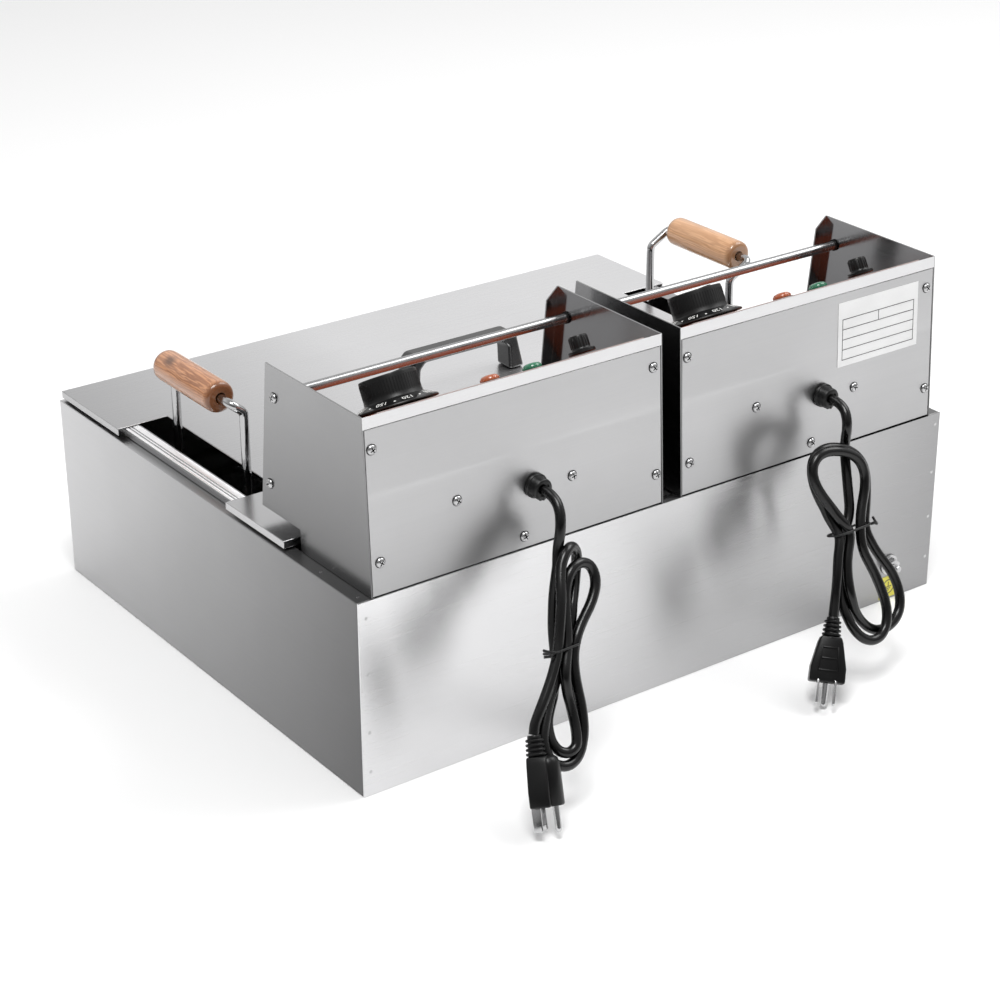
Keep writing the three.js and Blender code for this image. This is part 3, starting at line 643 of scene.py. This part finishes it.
def plug_frame(tag):
    """Local z along the plug, local x along the line between its blades."""
    h = HANKS[tag]
    start = in_hank(tag, *h["plug"], 0)
    way = (X * h["way"][0] + h["fall"] * h["way"][1]).normalized()
    across = Matrix.Rotation(h["twist"], 3, way) @ way.cross(h["out"])
    return frame_of(start, way, across)


BLADE_X = 6.35         # half the distance between the two blades
BOSS_INSET = 2.2       # the round back's axis lies this much nearer the blades than the earth pin's
RIB_STEP = 3.1


def make_plug(tag):
    """Moulded three-pin plug: ribbed relief, flat front, round back, two blades and an earth pin."""
    m = plug_frame(tag)
    earth = HANKS[tag]["earth"]
    bm = bmesh.new()
    relief = [(0, 0), (4.4, 0), (4.7, 0.5), (4.8, 2.0)]
    for k in range(4):
        z = 2.4 + k * RIB_STEP
        r = 6.3 + 0.25 * k
        relief += [(r - 1.6, z), (r - 0.4, z + 0.15), (r, z + 0.6), (r, z + 1.5), (r - 0.4, z + 1.95),
                   (r - 1.5, z + 2.2)]
    relief += [(6.2, 14.8), (6.4, 15.4), (0, 15.6)]
    lathe(bm, relief, 36, m)
    front = [(-7.4, 14.2), (7.4, 14.2), (9.0, 18.4), (13.0, 37), (13.1, 48), (-13.1, 48), (-13.0, 37),
             (-9.0, 18.4)]
    turn = m @ Matrix.Rotation(math.radians(90), 4, "X") @ Matrix.Scale(1, 4)
    prism(bm, front, -8.6, 5.8, 1.3, turn, 3)
    boss = [(0, 14.6), (5.6, 14.8), (7.2, 16.2), (8.2, 19.5), (8.4, 24), (8.4, 46.8), (7.8, 47.8), (6.8, 48),
            (0, 48)]
    lathe(bm, boss, 40, m @ Matrix.Translation(Vector((0, earth - BOSS_INSET, 0)) * MM))
    bars = ((22, 23.2, 5.2, 5.4), (30, 31.2, 5.6, 5.9), (38.8, 40, 7.0, 7.2))
    for low, high, half_low, half_high in bars:
        outline = [(-half_low, low), (half_low, low), (half_high, high), (-half_high, high)]
        prism(bm, outline, 5.4, 6.5, 0.3, turn, 2)
    for side in (-1, 1):
        outline = [(side * 5.2, 22), (side * 6.2, 22), (side * 8.0, 40), (side * 7.0, 40)]
        prism(bm, outline[::side], 5.4, 6.5, 0.3, turn, 2)
    body = finish_mesh(bm, "plug_body_" + tag, plug_vinyl, 40)
    bm = bmesh.new()
    across = m @ Matrix(((0, 0, 1, 0), (1, 0, 0, 0), (0, 1, 0, 0), (0, 0, 0, 1)))
    for side in (-BLADE_X, BLADE_X):
        outline = [(-6.3, 46.5), (0, 46.5), (0, 63.2), (-1.0, 64.5), (-5.3, 64.5), (-6.3, 63.2)]
        prism(bm, outline, side - 0.8, side + 0.8, 0.25, across, 2)
    lathe(bm, [(0, 46.5), (2.4, 46.5), (2.4, 63.0), (2.1, 64.6), (1.3, 65.6), (0, 65.9)], 32,
          m @ Matrix.Translation(Vector((0, earth, 0)) * MM))
    pins = finish_mesh(bm, "plug_pins_" + tag, nickel, 40)
    return body, pins


TIE_R = 0.00085
TIE_END_R = 0.00095


def make_tie(tag):
    """Twisted wire tie round the hank, its two ends left standing."""
    cx, half_x, cw, half_w, side = HANKS[tag]["band"]
    corners = [in_hank(tag, cx + sx * half_x, 0.3 * sx, cw + sw * half_w)
               for sx, sw in ((-1, -1), (1, -1), (1, 1), (-1, 1))]
    band = rod("tie_band_" + tag, rounded(corners, 0.0052, 8, True), TIE_R, tie_plastic, True, 4)
    edge = cx + side * half_x
    ends = []
    for k, (dx, dq, dw) in enumerate([(5.0, -3.6, 3.6), (6.4, 0.8, 4.6)]):
        points = [in_hank(tag, edge - side * 1.5, 0, cw + half_w - 1.2),
                  in_hank(tag, edge + side * 1.2, -1.0 + k, cw + half_w + 1.4 - 1.0 * k),
                  in_hank(tag, edge + side * dx * 0.55, dq * 0.4 + 0.8 * k, cw + half_w * 0.7 + dw * 0.5),
                  in_hank(tag, edge + side * dx, dq, cw + dw)]
        name = "tie_end_%d_%s" % (k + 1, tag)
        ends.append(rod(name, spline(points, 0.001), TIE_END_R, tie_plastic, False, 4))
    return band, ends


for tag in "ab":
    route = [in_hank(tag, *p) for p in ROUTES[tag]]
    line = spline(route, 0.0025)
    lead = rod("lead_" + tag, line, LEAD_D / 2, lead_vinyl, False, 7)
    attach(lead, "head_" + tag)
    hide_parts("cord_" + tag, "cord_hank_" + tag)
    body, pins = make_plug(tag)
    stand_for(body, "plug_" + tag)
    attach(pins, "head_" + tag)
    band, ends = make_tie(tag)
    stand_for(band, "cord_tie_" + tag)
    for end in ends:
        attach(end, "head_" + tag)

# ---- casing, tank and lid -------------------------------------------------------

softened("casing_wrap", 0.55, steel_side)
softened("back_panel", 0.5, steel_back)
softened("deck_plate", 0.4, steel_deck)
softened("oil_tank", 0.4, steel_tank)
softened("lid", 0.5, steel_top)
softened("lid_handle", 2.6, handle_phenolic, segments=4)


CUT_FRONT = -121       # the lid's side cut runs from here
CUT_BACK = 39          # to here
RIM_TOP = 155.9


def make_rim_strips():
    """Folded rim of the tank where the lid is cut away: a flat band, a groove and two fine beads, in a
    full-bright copy of the tank steel that is a painted highlight.
    """
    bm = bmesh.new()
    for low, high, top in ((250.6, 255.6, 156.55), (256.9, 258.1, 156.5), (259.5, 261.8, 156.5)):
        slab(bm, (low, CUT_FRONT + SHIFT, RIM_TOP), (high, CUT_BACK + SHIFT, top), 0.22)
    piece = finish_mesh(bm, "tank_rim_strips", rim_steel_painted_highlight, 30)
    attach(piece, "casing")


make_rim_strips()

# ---- heads -----------------------------------------------------------------------

TILT = math.radians(29.5)
DOWN = Vector((0, -math.cos(TILT), -math.sin(TILT)))
NORMAL = Vector((0, -math.sin(TILT), math.cos(TILT)))
PANEL_TOP = (209.0, 278.8)
CONTROL_ROW = 35.0     # knob, lamps and reset cap, down the panel from its top edge
HALF_HEAD = 125.25
HEAD_FLOOR = 151
REAR_FOOT = 215        # the rear face at the head's floor
REAR_LEAN = 0.0462
KNOB_X = 77
RESET_X = -80
GREEN_X = -36
BUSHING_X = -11.6
BUSHING_Z = 195.2


def rear_y(z):
    """The leaning rear face of a head at height z."""
    return REAR_FOOT - (z - HEAD_FLOOR) * REAR_LEAN


def on_panel(x, s, h=0.0):
    """A place on the control panels: s down the slope, h off the sheet."""
    return at(x, *PANEL_TOP) + (DOWN * s + NORMAL * h) * MM


def make_screw():
    """Pan head with a cross recess, cut once and copied."""
    bm = bmesh.new()
    pan = [(0, -1.5), (1.8, -1.5), (1.8, 0.05), (3.55, 0.05), (3.6, 0.5), (3.35, 1.2), (2.7, 1.8),
           (1.6, 2.15), (0, 2.25)]
    lathe(bm, pan, 32, Matrix.Identity(4))
    head = finish_mesh(bm, "screw_head", screw_metal)
    bm = bmesh.new()
    slab(bm, (-2.1, -0.42, 1.1), (2.1, 0.42, 3.0))
    slab(bm, (-0.42, -2.1, 1.1), (0.42, 2.1, 3.0))
    bmesh.ops.recalc_face_normals(bm, faces=bm.faces)
    cross = finish_mesh(bm, "screw_cross", screw_metal, keep_flat=True)
    cut = head.modifiers.new("recess", "BOOLEAN")
    cut.object = cross
    cut.operation = "DIFFERENCE"
    cut.solver = "EXACT"
    cut.use_self = True
    bpy.context.view_layer.update()
    mesh = bpy.data.meshes.new_from_object(head.evaluated_get(bpy.context.evaluated_depsgraph_get()))
    # the cross recess faces take the near-black metal: painted shade in the recess
    for face in mesh.polygons:
        middle = face.center / MM
        in_shaded_recess = math.hypot(middle.x, middle.y) < 2.2 and 1.0 < middle.z < 2.2
        if in_shaded_recess and (abs(face.normal.z) < 0.2 or middle.z < 1.2):
            face.material_index = 1
    for spare in (head, cross):
        bpy.data.objects.remove(spare)
    return mesh


screw_mesh = make_screw()


def put_screw(bm, place):
    """One screw at a random turn, with a ring of painted shadow round its head."""
    made = bmesh.new()
    made.from_mesh(screw_mesh)
    merge_into(bm, made, place @ Matrix.Rotation(random.uniform(0, TAU), 4, "Z"), None)
    # a near-black ring round the head: painted shadow
    lathe(bm, [(3.4, -0.2), (3.95, -0.2), (4.0, 0.05), (3.9, 0.12), (3.4, 0.12), (3.4, -0.2)], 28, place, 1)


# rear face: (distance from the head's +X edge, height); wings: (y, height)
BACK_SCREWS = [(6.5, 255.5), (8.5, 174.5), (72, 201.5), (127, 159.5), (169.3, 193.4), (242.3, 255.5),
               (244.2, 174)]
SIDE_SCREWS = [(99.5, 256), (89, 188)]


def make_screws(tag):
    x0 = HEAD_X[tag]
    bm = bmesh.new()
    for d, z in BACK_SCREWS:
        put_screw(bm, frame_of(at(x0 + HALF_HEAD - d, rear_y(z) + 0.1, z), Vector((0, 1, REAR_LEAN))))
    for side in (-1, 1):
        for y, z in SIDE_SCREWS:
            put_screw(bm, frame_of(at(x0 + side * (HALF_HEAD + 0.1), y, z), X * side))
    piece = finish_mesh(bm, "screws_" + tag, [screw_metal, painted_shade_metal], 40)
    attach(piece, "head_" + tag)


def number(bm, text, place, size):
    """Adds raised figures, as a mesh, in the local x-y plane of place."""
    curve = bpy.data.curves.new("figure", "FONT")
    curve.body = text
    curve.size = size * MM
    curve.align_x = "CENTER"
    curve.align_y = "CENTER"
    curve.extrude = 0.00004
    curve.resolution_u = 3
    holder = bpy.data.objects.new("figure", curve)
    scene.collection.objects.link(holder)
    bpy.context.view_layer.update()
    mesh = bpy.data.meshes.new_from_object(holder.evaluated_get(bpy.context.evaluated_depsgraph_get()))
    bpy.data.objects.remove(holder)
    made = bmesh.new()
    made.from_mesh(mesh)
    bpy.data.meshes.remove(mesh)
    merge_into(bm, made, place)


DIAL = ("0", "50", "80", "100", "120", "150", "180", "200")
DIAL_START = -120      # degrees, where the zero stands
DIAL_STEP = 40
SKIRT_SLOPE = math.atan2(3.6, 7.1)
FLUTES = 60


def make_knob(tag):
    """Turned cap on a sloped skirt with its figures, dots and pointer line."""
    x = HEAD_X[tag] + KNOB_X
    m = frame_of(on_panel(x, CONTROL_ROW), NORMAL, X)
    bm = bmesh.new()
    skirt = [(0, 13), (3.3, 13), (3.3, 2.4), (28.8, 2.2), (29.8, 2.4), (30, 3.0), (29.7, 3.7), (22.6, 7.3)]
    cap = [(21.2, 7.8), (20.6, 8.6), (20.2, 12), (20.1, 23.4), (19.9, 24.2), (19.3, 24.6), (17.6, 24.6),
           (17.2, 24.2), (0, 24.1)]
    lathe(bm, skirt + cap, 72, m)
    slab(bm, (-1.7, 3.0, 23.0), (1.7, 19.2, 25.2), 0.5, m, 2)
    for k in range(FLUTES):
        turn = m @ Matrix.Rotation(TAU * (k + 0.5) / FLUTES, 4, "Z")
        slab(bm, (19.4, -0.42, 9.6), (20.3, 0.42, 22.0), 0.16, turn, 1)
    gloss = [(20.9, 8.0), (23.4, 6.98), (29.75, 3.72), (29.75, 3.82), (23.4, 7.08), (20.9, 8.1), (20.9, 8.0)]
    lathe(bm, gloss, 72, m, 1)
    piece = finish_mesh(bm, "knob_turned_" + tag, [knob_plastic, dial_gloss], 35)
    stand_for(piece, "knob_" + tag)
    bm = bmesh.new()
    tip = Matrix.Rotation(SKIRT_SLOPE, 4, "Y")
    for k, text in enumerate(DIAL):
        angle = math.radians(DIAL_START - DIAL_STEP * k)
        spoke = m @ Matrix.Rotation(angle, 4, "Z")
        place = spoke @ Matrix.Translation(Vector((25.9, 0, 5.86)) * MM) @ tip
        number(bm, text, place @ Matrix.Rotation(-math.pi / 2, 4, "Z"), 5.6)
        between = m @ Matrix.Rotation(angle - math.radians(DIAL_STEP / 2), 4, "Z")
        dot = between @ Matrix.Translation(Vector((26.6, 0, 5.40)) * MM) @ tip
        lathe(bm, [(0, 0), (0.75, 0), (0.7, 0.12), (0, 0.14)], 14, dot)
    slab(bm, (-0.6, 9.0, 25.1), (0.6, 18.6, 25.3), 0.05, m)
    marks = finish_mesh(bm, "knob_figures_" + tag, print_white, 40)
    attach(marks, "knob_" + tag)


def make_lamp(tag, name, x, material):
    """Fluted pilot lamp in a black collar."""
    m = frame_of(on_panel(HEAD_X[tag] + x, CONTROL_ROW), NORMAL, X)
    bm = bmesh.new()
    glass = [(0, -22), (6, -22), (6, 1.2), (6.6, 1.2), (6.9, 2.3), (6.6, 4.4), (5.6, 5.6), (3.4, 6.3),
             (0, 6.6)]
    lathe(bm, glass, 40, m)
    for k in range(20):
        turn = m @ Matrix.Rotation(TAU * k / 20, 4, "Z")
        slab(bm, (6.3, -0.35, 1.6), (6.98, 0.35, 4.2), 0.12, turn, 1)
    collar = [(6.0, 0.95), (8.2, 0.95), (8.4, 1.3), (8.1, 2.2), (7.0, 2.4), (6.0, 2.3), (6.0, 0.95)]
    lathe(bm, collar, 40, m, 1)
    piece = finish_mesh(bm, "%s_lens_%s" % (name, tag), [material, knob_plastic], 40)
    stand_for(piece, "%s_%s" % (name, tag))


def make_reset(tag):
    """Ribbed push cap on a flat foot."""
    m = frame_of(on_panel(HEAD_X[tag] + RESET_X, CONTROL_ROW), NORMAL, X)
    bm = bmesh.new()
    cap = [(0, 4.4), (3.2, 4.4), (3.2, 3.3), (9.4, 3.2), (10, 3.6), (9.9, 5.4), (9.2, 5.9), (7.4, 6.1),
           (7.0, 6.6), (6.8, 8), (6.7, 15.2), (6.3, 16.1), (5.4, 16.4), (0, 16.5)]
    lathe(bm, cap, 48, m)
    for k in range(18):
        turn = m @ Matrix.Rotation(TAU * k / 18, 4, "Z")
        slab(bm, (6.5, -0.4, 7.4), (7.1, 0.4, 15.0), 0.15, turn, 1)
    piece = finish_mesh(bm, "reset_button_" + tag, knob_plastic, 40)
    stand_for(piece, "reset_cap_" + tag)


def make_bushing(tag):
    """Snap-in cord bushing with its locking tab."""
    x = HEAD_X[tag] + BUSHING_X
    m = frame_of(at(x, rear_y(BUSHING_Z), BUSHING_Z), Y, X)
    bm = bmesh.new()
    flange = [(0, -8), (6.4, -8), (7, -1.6), (7, 0.5), (8.7, 0.5), (9.0, 0.8), (9.0, 2.6), (8.7, 3.0)]
    barrel = [(8.2, 3.2), (8.0, 3.9), (7.8, 6.0), (7.6, 9.3), (7.2, 10.1), (6.3, 10.5), (4.9, 10.6),
              (4.7, 9.4), (0, 9.3)]
    lathe(bm, flange + barrel, 48, m)
    slab(bm, (-2.6, 6.3, 3.4), (2.6, 8.1, 9.6), 0.4, m, 2)
    slab(bm, (-0.5, 4.9, 9.6), (0.5, 7.9, 10.75), 0.15, m, 1)
    piece = finish_mesh(bm, "bushing_" + tag, bushing_nylon, 40)
    stand_for(piece, "gland_" + tag)


RAIL_PLACE = (101, 257.5)
WING_SHEET = 1.2
RAIL_GAP = 0.3


def make_rail(tag):
    """Round bar between the wings with a ring of painted shadow at each end, where it meets the wings."""
    x0 = HEAD_X[tag]
    half = HALF_HEAD - WING_SHEET - RAIL_GAP
    m = frame_of(at(x0 - half, *RAIL_PLACE), X, Y)
    bm = bmesh.new()
    reach = 2 * half
    lathe(bm, [(0, 0), (3.3, 0), (3.7, 0.4), (3.7, reach - 0.4), (3.3, reach), (0, reach)], 40, m)
    # near-black rings at the bar's ends: painted shadow where it enters the wings
    for start in (0.02, reach - 1.6):
        lathe(bm, [(3.7, start), (4.5, start), (4.6, start + 0.3), (4.5, start + 1.2), (3.7, start + 1.5),
                   (3.7, start)], 32, m, 1)
    piece = finish_mesh(bm, "rail_bar_" + tag, [rail_steel, painted_shade_metal], 40)
    stand_for(piece, "guard_rail_" + tag)


def head_faces(x0):
    """Picks a head's finishes: 0 outer sheet, 1 the folded rear band, a lighter copy of the head steel that is
    a painted highlight, 2 the inner sides of the wings, a darker copy of it that is a painted dark reflection.
    """
    def pick(middle, normal):
        if middle.z > 266 and normal.y > 0.6 and middle.y - SHIFT > 200:
            return 1
        inward = normal.x * (middle.x - x0) < 0
        return 2 if inward and abs(normal.x) > 0.5 and abs(middle.x - x0) > 115 else 0
    return pick


for tag in "ab":
    sheets = [steel_head, steel_band_painted_highlight, steel_wing_painted_reflection]
    softened("head_shell_" + tag, 0.5, sheets, pick=head_faces(HEAD_X[tag]))
    softened("back_plate_" + tag, 0.35, steel_plate)
    make_screws(tag)
    make_knob(tag)
    make_lamp(tag, "lamp_amber", 0, amber_lens)
    make_lamp(tag, "lamp_green", GREEN_X, green_lens)
    make_reset(tag)
    make_bushing(tag)
    make_rail(tag)

# ---- rating plate and earth mark ---------------------------------------------------

def rear_frame(x, z, lift):
    """Local x to the right as seen from behind, local y up the leaning rear face."""
    normal = Vector((0, 1, REAR_LEAN)).normalized()
    return frame_of(at(x, rear_y(z) + lift, z), normal, -X)


PLATE_SPAN = (151.6, 233.5)      # from the head's +X edge
PLATE_LOW = 212.5
PLATE_HIGH = 263
RULE_HALF = 0.28


def make_rating_plate():
    """White plate on head b with a ruled table and no lettering."""
    x_from = HEAD_X["b"] + HALF_HEAD - PLATE_SPAN[0]
    x_to = HEAD_X["b"] + HALF_HEAD - PLATE_SPAN[1]
    m = rear_frame((x_from + x_to) / 2, (PLATE_LOW + PLATE_HIGH) / 2, 0.08)
    w, h = abs(x_to - x_from) / 2, 25.2
    bm = bmesh.new()
    slab(bm, (-w, -h, 0), (w, h, 0.22), 0.08, m, 1)
    plate = finish_mesh(bm, "rating_plate", label_paper, 40)
    bm = bmesh.new()

    def rule(x0, y0, x1, y1):
        corner = (min(x0, x1) - RULE_HALF, min(y0, y1) - RULE_HALF, 0.2)
        slab(bm, corner, (max(x0, x1) + RULE_HALF, max(y0, y1) + RULE_HALF, 0.29), 0, m)

    left, right, low, high = -w + 4.5, w - 4.5, -h + 5.2, h - 13.5
    for y in (low, high):
        rule(left, y, right, y)
    for x in (left, right):
        rule(x, low, x, high)
    rows = [high - (high - low) * k / 4 for k in (1, 2, 3)]
    for y in rows:
        rule(left, y, right, y)
    rule(0, rows[0], 0, high)
    lines = finish_mesh(bm, "rating_rules", label_ink, keep_flat=True)
    for piece in (plate, lines):
        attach(piece, "head_b")


make_rating_plate()


CASING_BACK = 216


def make_earth_mark():
    """Yellow label under the stud with the earth sign."""
    m = frame_of(at(-226, CASING_BACK + 0.06, 11), Y, -X)
    bm = bmesh.new()
    slab(bm, (-9.5, -9.5, 0), (9.5, 9.5, 0.2), 0.06, m, 1)
    plate = finish_mesh(bm, "earth_label", label_yellow, 40)
    bm = bmesh.new()
    lathe(bm, [(5.6, 0.18), (6.4, 0.18), (6.4, 0.27), (5.6, 0.27), (5.6, 0.18)], 40, m)
    slab(bm, (-0.35, 0.0, 0.18), (0.35, 4.2, 0.27), 0, m)
    for half, y in ((3.4, 0.0), (2.2, -1.6), (1.0, -3.2)):
        slab(bm, (-half, y - 0.35, 0.18), (half, y + 0.35, 0.27), 0, m)
    mark = finish_mesh(bm, "earth_sign", label_ink, keep_flat=True)
    for piece in (plate, mark):
        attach(piece, "casing")


make_earth_mark()


THREAD_PITCH = 0.7


def make_stud():
    """Threaded stud with a washer, and a nut on each side of the panel."""
    m = frame_of(at(-225, CASING_BACK, 31), Y, X)
    bm = bmesh.new()
    thread = [(0, -8), (2.6, -8)]
    z = -7.6
    while z < 11.2:
        thread += [(2.95, z), (2.6, z + THREAD_PITCH / 2)]
        z += THREAD_PITCH
    lathe(bm, thread + [(2.3, 12), (0, 12)], 24, m)
    lathe(bm, [(3.1, 0.2), (8.2, 0.2), (8.5, 0.5), (8.5, 1.3), (8.1, 1.6), (3.1, 1.6), (3.1, 0.2)], 40, m)
    for low, high in ((1.7, 6.4), (-7, -1.6)):
        outline = [(6.6 * math.cos(TAU * k / 6 + 0.3), 6.6 * math.sin(TAU * k / 6 + 0.3)) for k in range(6)]
        prism(bm, outline, low, high, 0.4, m, 2)
    piece = finish_mesh(bm, "stud_hardware", screw_metal, 35)
    stand_for(piece, "earth_stud")


make_stud()


CASING_TOP = 150


def make_dimples():
    """Spot-weld marks: shallow rings pressed round each weld on the rear panel and top flanges."""
    bm = bmesh.new()
    spots = [(264, z) for z in (137.5, 94.8, 49.6, 18.7)] + [(-265.5, z) for z in (141, 100, 61.5, 26)]
    ring = [(0, -0.02), (0.6, 0.03), (1.0, 0.14), (1.3, 0.02), (1.3, -0.3)]
    for x, z in spots:
        lathe(bm, ring, 20, frame_of(at(x, CASING_BACK, z), Y, X))
    for x, y in ((264, 161), (264, 207), (-264, 161), (-264, 207)):
        lathe(bm, ring, 20, frame_of(at(x, y, CASING_TOP), Z, X))
    piece = finish_mesh(bm, "weld_marks", steel_deck, 60)
    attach(piece, "casing")


make_dimples()

# ---- rack bails and grips ------------------------------------------------------------

# the legs' x, how far the grip stands out from it, the grip's height and where it starts along y
BAILS = {"a": (231.2, 9.5, 215.0, -89.0), "b": (-231.2, -21.0, 219.0, -86.5)}
BAIL_FRONT = -94
BAIL_REAR = 8.3
BAIL_SHOULDER = 207
BAIL_FOOT = 64 + 6 + 0.3         # the rack's underside, its bars and the gap
WOODS = {
    "a": timber("oiled_beech", tuple(at(240.7, -48, 215)), (0.64, 0.30, 0.14), (0.26, 0.09, 0.03), 230,
                knot=(tuple(at(240.7 + 6, -70, 215 + 10.5)), 0.006)),
    "b": timber("pale_beech", tuple(at(-252.2, -45.5, 219)), (0.74, 0.42, 0.22), (0.52, 0.26, 0.12), 190),
}


def make_bail(tag):
    """Bent rod with two legs on the rack, its top carried outwards to the grip."""
    x, out, top, _ = BAILS[tag]
    path = [at(x, BAIL_FRONT, BAIL_FOOT), at(x, BAIL_FRONT, BAIL_SHOULDER), at(x + out, BAIL_FRONT, top),
            at(x + out, BAIL_REAR, top), at(x, BAIL_REAR, BAIL_SHOULDER), at(x, BAIL_REAR, BAIL_FOOT)]
    bail = rod("bail_rod_" + tag, rounded(path, 0.0062, 10), ROD_R * MM, chrome, False, 7)
    stand_for(bail, "bail_" + tag)


def make_grip(tag):
    """Turned wooden sleeve on the bail, bored to spin on it."""
    x, out, top, start = BAILS[tag]
    m = frame_of(at(x + out, start, top), Y, X)
    bore, r, n = ROD_R + 0.4, GRIP_R, GRIP_LEN
    flare = ROD_R + 0.8
    bm = bmesh.new()
    near = [(bore, 1.5), (flare, 0.5), (r - 4.2, 0), (r - 2.4, 0.3), (r - 1.1, 1.2), (r - 0.3, 2.9), (r, 5.4)]
    far = [(r, n - 5.4), (r - 0.3, n - 2.9), (r - 1.1, n - 1.2), (r - 2.4, n - 0.3), (r - 4.2, n),
           (flare, n - 0.5), (bore, n - 1.5)]
    lathe(bm, [(bore, n - 1.5), *near, (r + 0.05, n / 2), *far], 64, m)
    grip = finish_mesh(bm, "grip_turned_" + tag, WOODS[tag], 50)
    stand_for(grip, "grip_" + tag)


for tag in "ab":
    make_bail(tag)
    make_grip(tag)

# ---- finishes of the CAD nodes that stay ------------------------------------------------

STAY = {"base_plate": steel_inner, "rear_shelf": steel_inner, "fry_rack": chrome}
EACH_HEAD = {"control_plate": panel_film, "thermostat": steel_inner, "sensor": copper_tube,
             "limiter": ceramic, "terminal_block": ceramic, "element": steel_element,
             "element_guard": steel_inner}
for tag in "ab":
    STAY.update({name + "_" + tag: material for name, material in EACH_HEAD.items()})
for name, material in STAY.items():
    mesh = nodes[name].data
    mesh.materials.clear()
    mesh.materials.append(material)

# ---- studio --------------------------------------------------------------------------

def floor_paint():
    f = Finish("floor_paint", (0.95, 0.95, 0.95), 0.7)
    f.rough(f.remap(f.noise((3, 3, 3), 2.0), 0.3, 0.7, 0.65, 0.75))
    return f.mat


def make_floor():
    bm = bmesh.new()
    bmesh.ops.create_grid(bm, x_segments=1, y_segments=1, size=30.0)
    floor = finish_mesh(bm, "floor", floor_paint())
    floor.location.z = -0.0002


def make_sky():
    """A pale dome: brightest 16 to 38 degrees up, dark towards the rear on the +X side."""
    world = bpy.data.worlds.new("studio")
    world.use_nodes = True
    tree = world.node_tree
    direction = tree.nodes.new("ShaderNodeTexCoord")
    parts = tree.nodes.new("ShaderNodeSeparateXYZ")
    ramp = tree.nodes.new("ShaderNodeValToRGB")
    stops = [(0.0, 0.30), (0.28, 1.0), (0.62, 1.0), (1.0, 0.55)]
    while len(ramp.color_ramp.elements) < len(stops):
        ramp.color_ramp.elements.new(0.5)
    for element, (height, level) in zip(ramp.color_ramp.elements, stops):
        element.position = height
        element.color = (level, level, level, 1)
    lean = tree.nodes.new("ShaderNodeVectorMath")
    lean.operation = "DOT_PRODUCT"
    lean.inputs[1].default_value = (-0.55, -0.80, 0.55)
    side = tree.nodes.new("ShaderNodeMapRange")
    for socket, value in (("From Min", -0.9), ("From Max", 0.5), ("To Min", 0.13), ("To Max", 1.0)):
        side.inputs[socket].default_value = value
    both = tree.nodes.new("ShaderNodeMath")
    both.operation = "MULTIPLY"
    tree.links.new(direction.outputs["Generated"], parts.inputs[0])
    tree.links.new(direction.outputs["Generated"], lean.inputs[0])
    tree.links.new(lean.outputs["Value"], side.inputs["Value"])
    tree.links.new(parts.outputs["Z"], ramp.inputs["Fac"])
    tree.links.new(ramp.outputs["Color"], both.inputs[0])
    tree.links.new(side.outputs["Result"], both.inputs[1])
    tree.links.new(both.outputs[0], tree.nodes["Background"].inputs["Color"])
    tree.nodes["Background"].inputs["Strength"].default_value = 0.9
    scene.world = world


# name, place, side length and watts of each soft light
LIGHTS = [("key", (0.7, 0.8, 2.6), 1.0, 44), ("fill", (-1.8, 0.4, 2.4), 1.6, 34)]


def make_lights():
    for name, place, size, energy in LIGHTS:
        data = bpy.data.lights.new(name, "AREA")
        data.shape = "SQUARE"
        data.size = size
        data.energy = energy
        lamp = bpy.data.objects.new(name, data)
        scene.collection.objects.link(lamp)
        lamp.location = place
        aim = Vector((0, 0, 0.1)) - Vector(place)
        lamp.rotation_mode = "QUATERNION"
        lamp.rotation_quaternion = aim.to_track_quat("-Z", "Y")


make_floor()
make_sky()
make_lights()
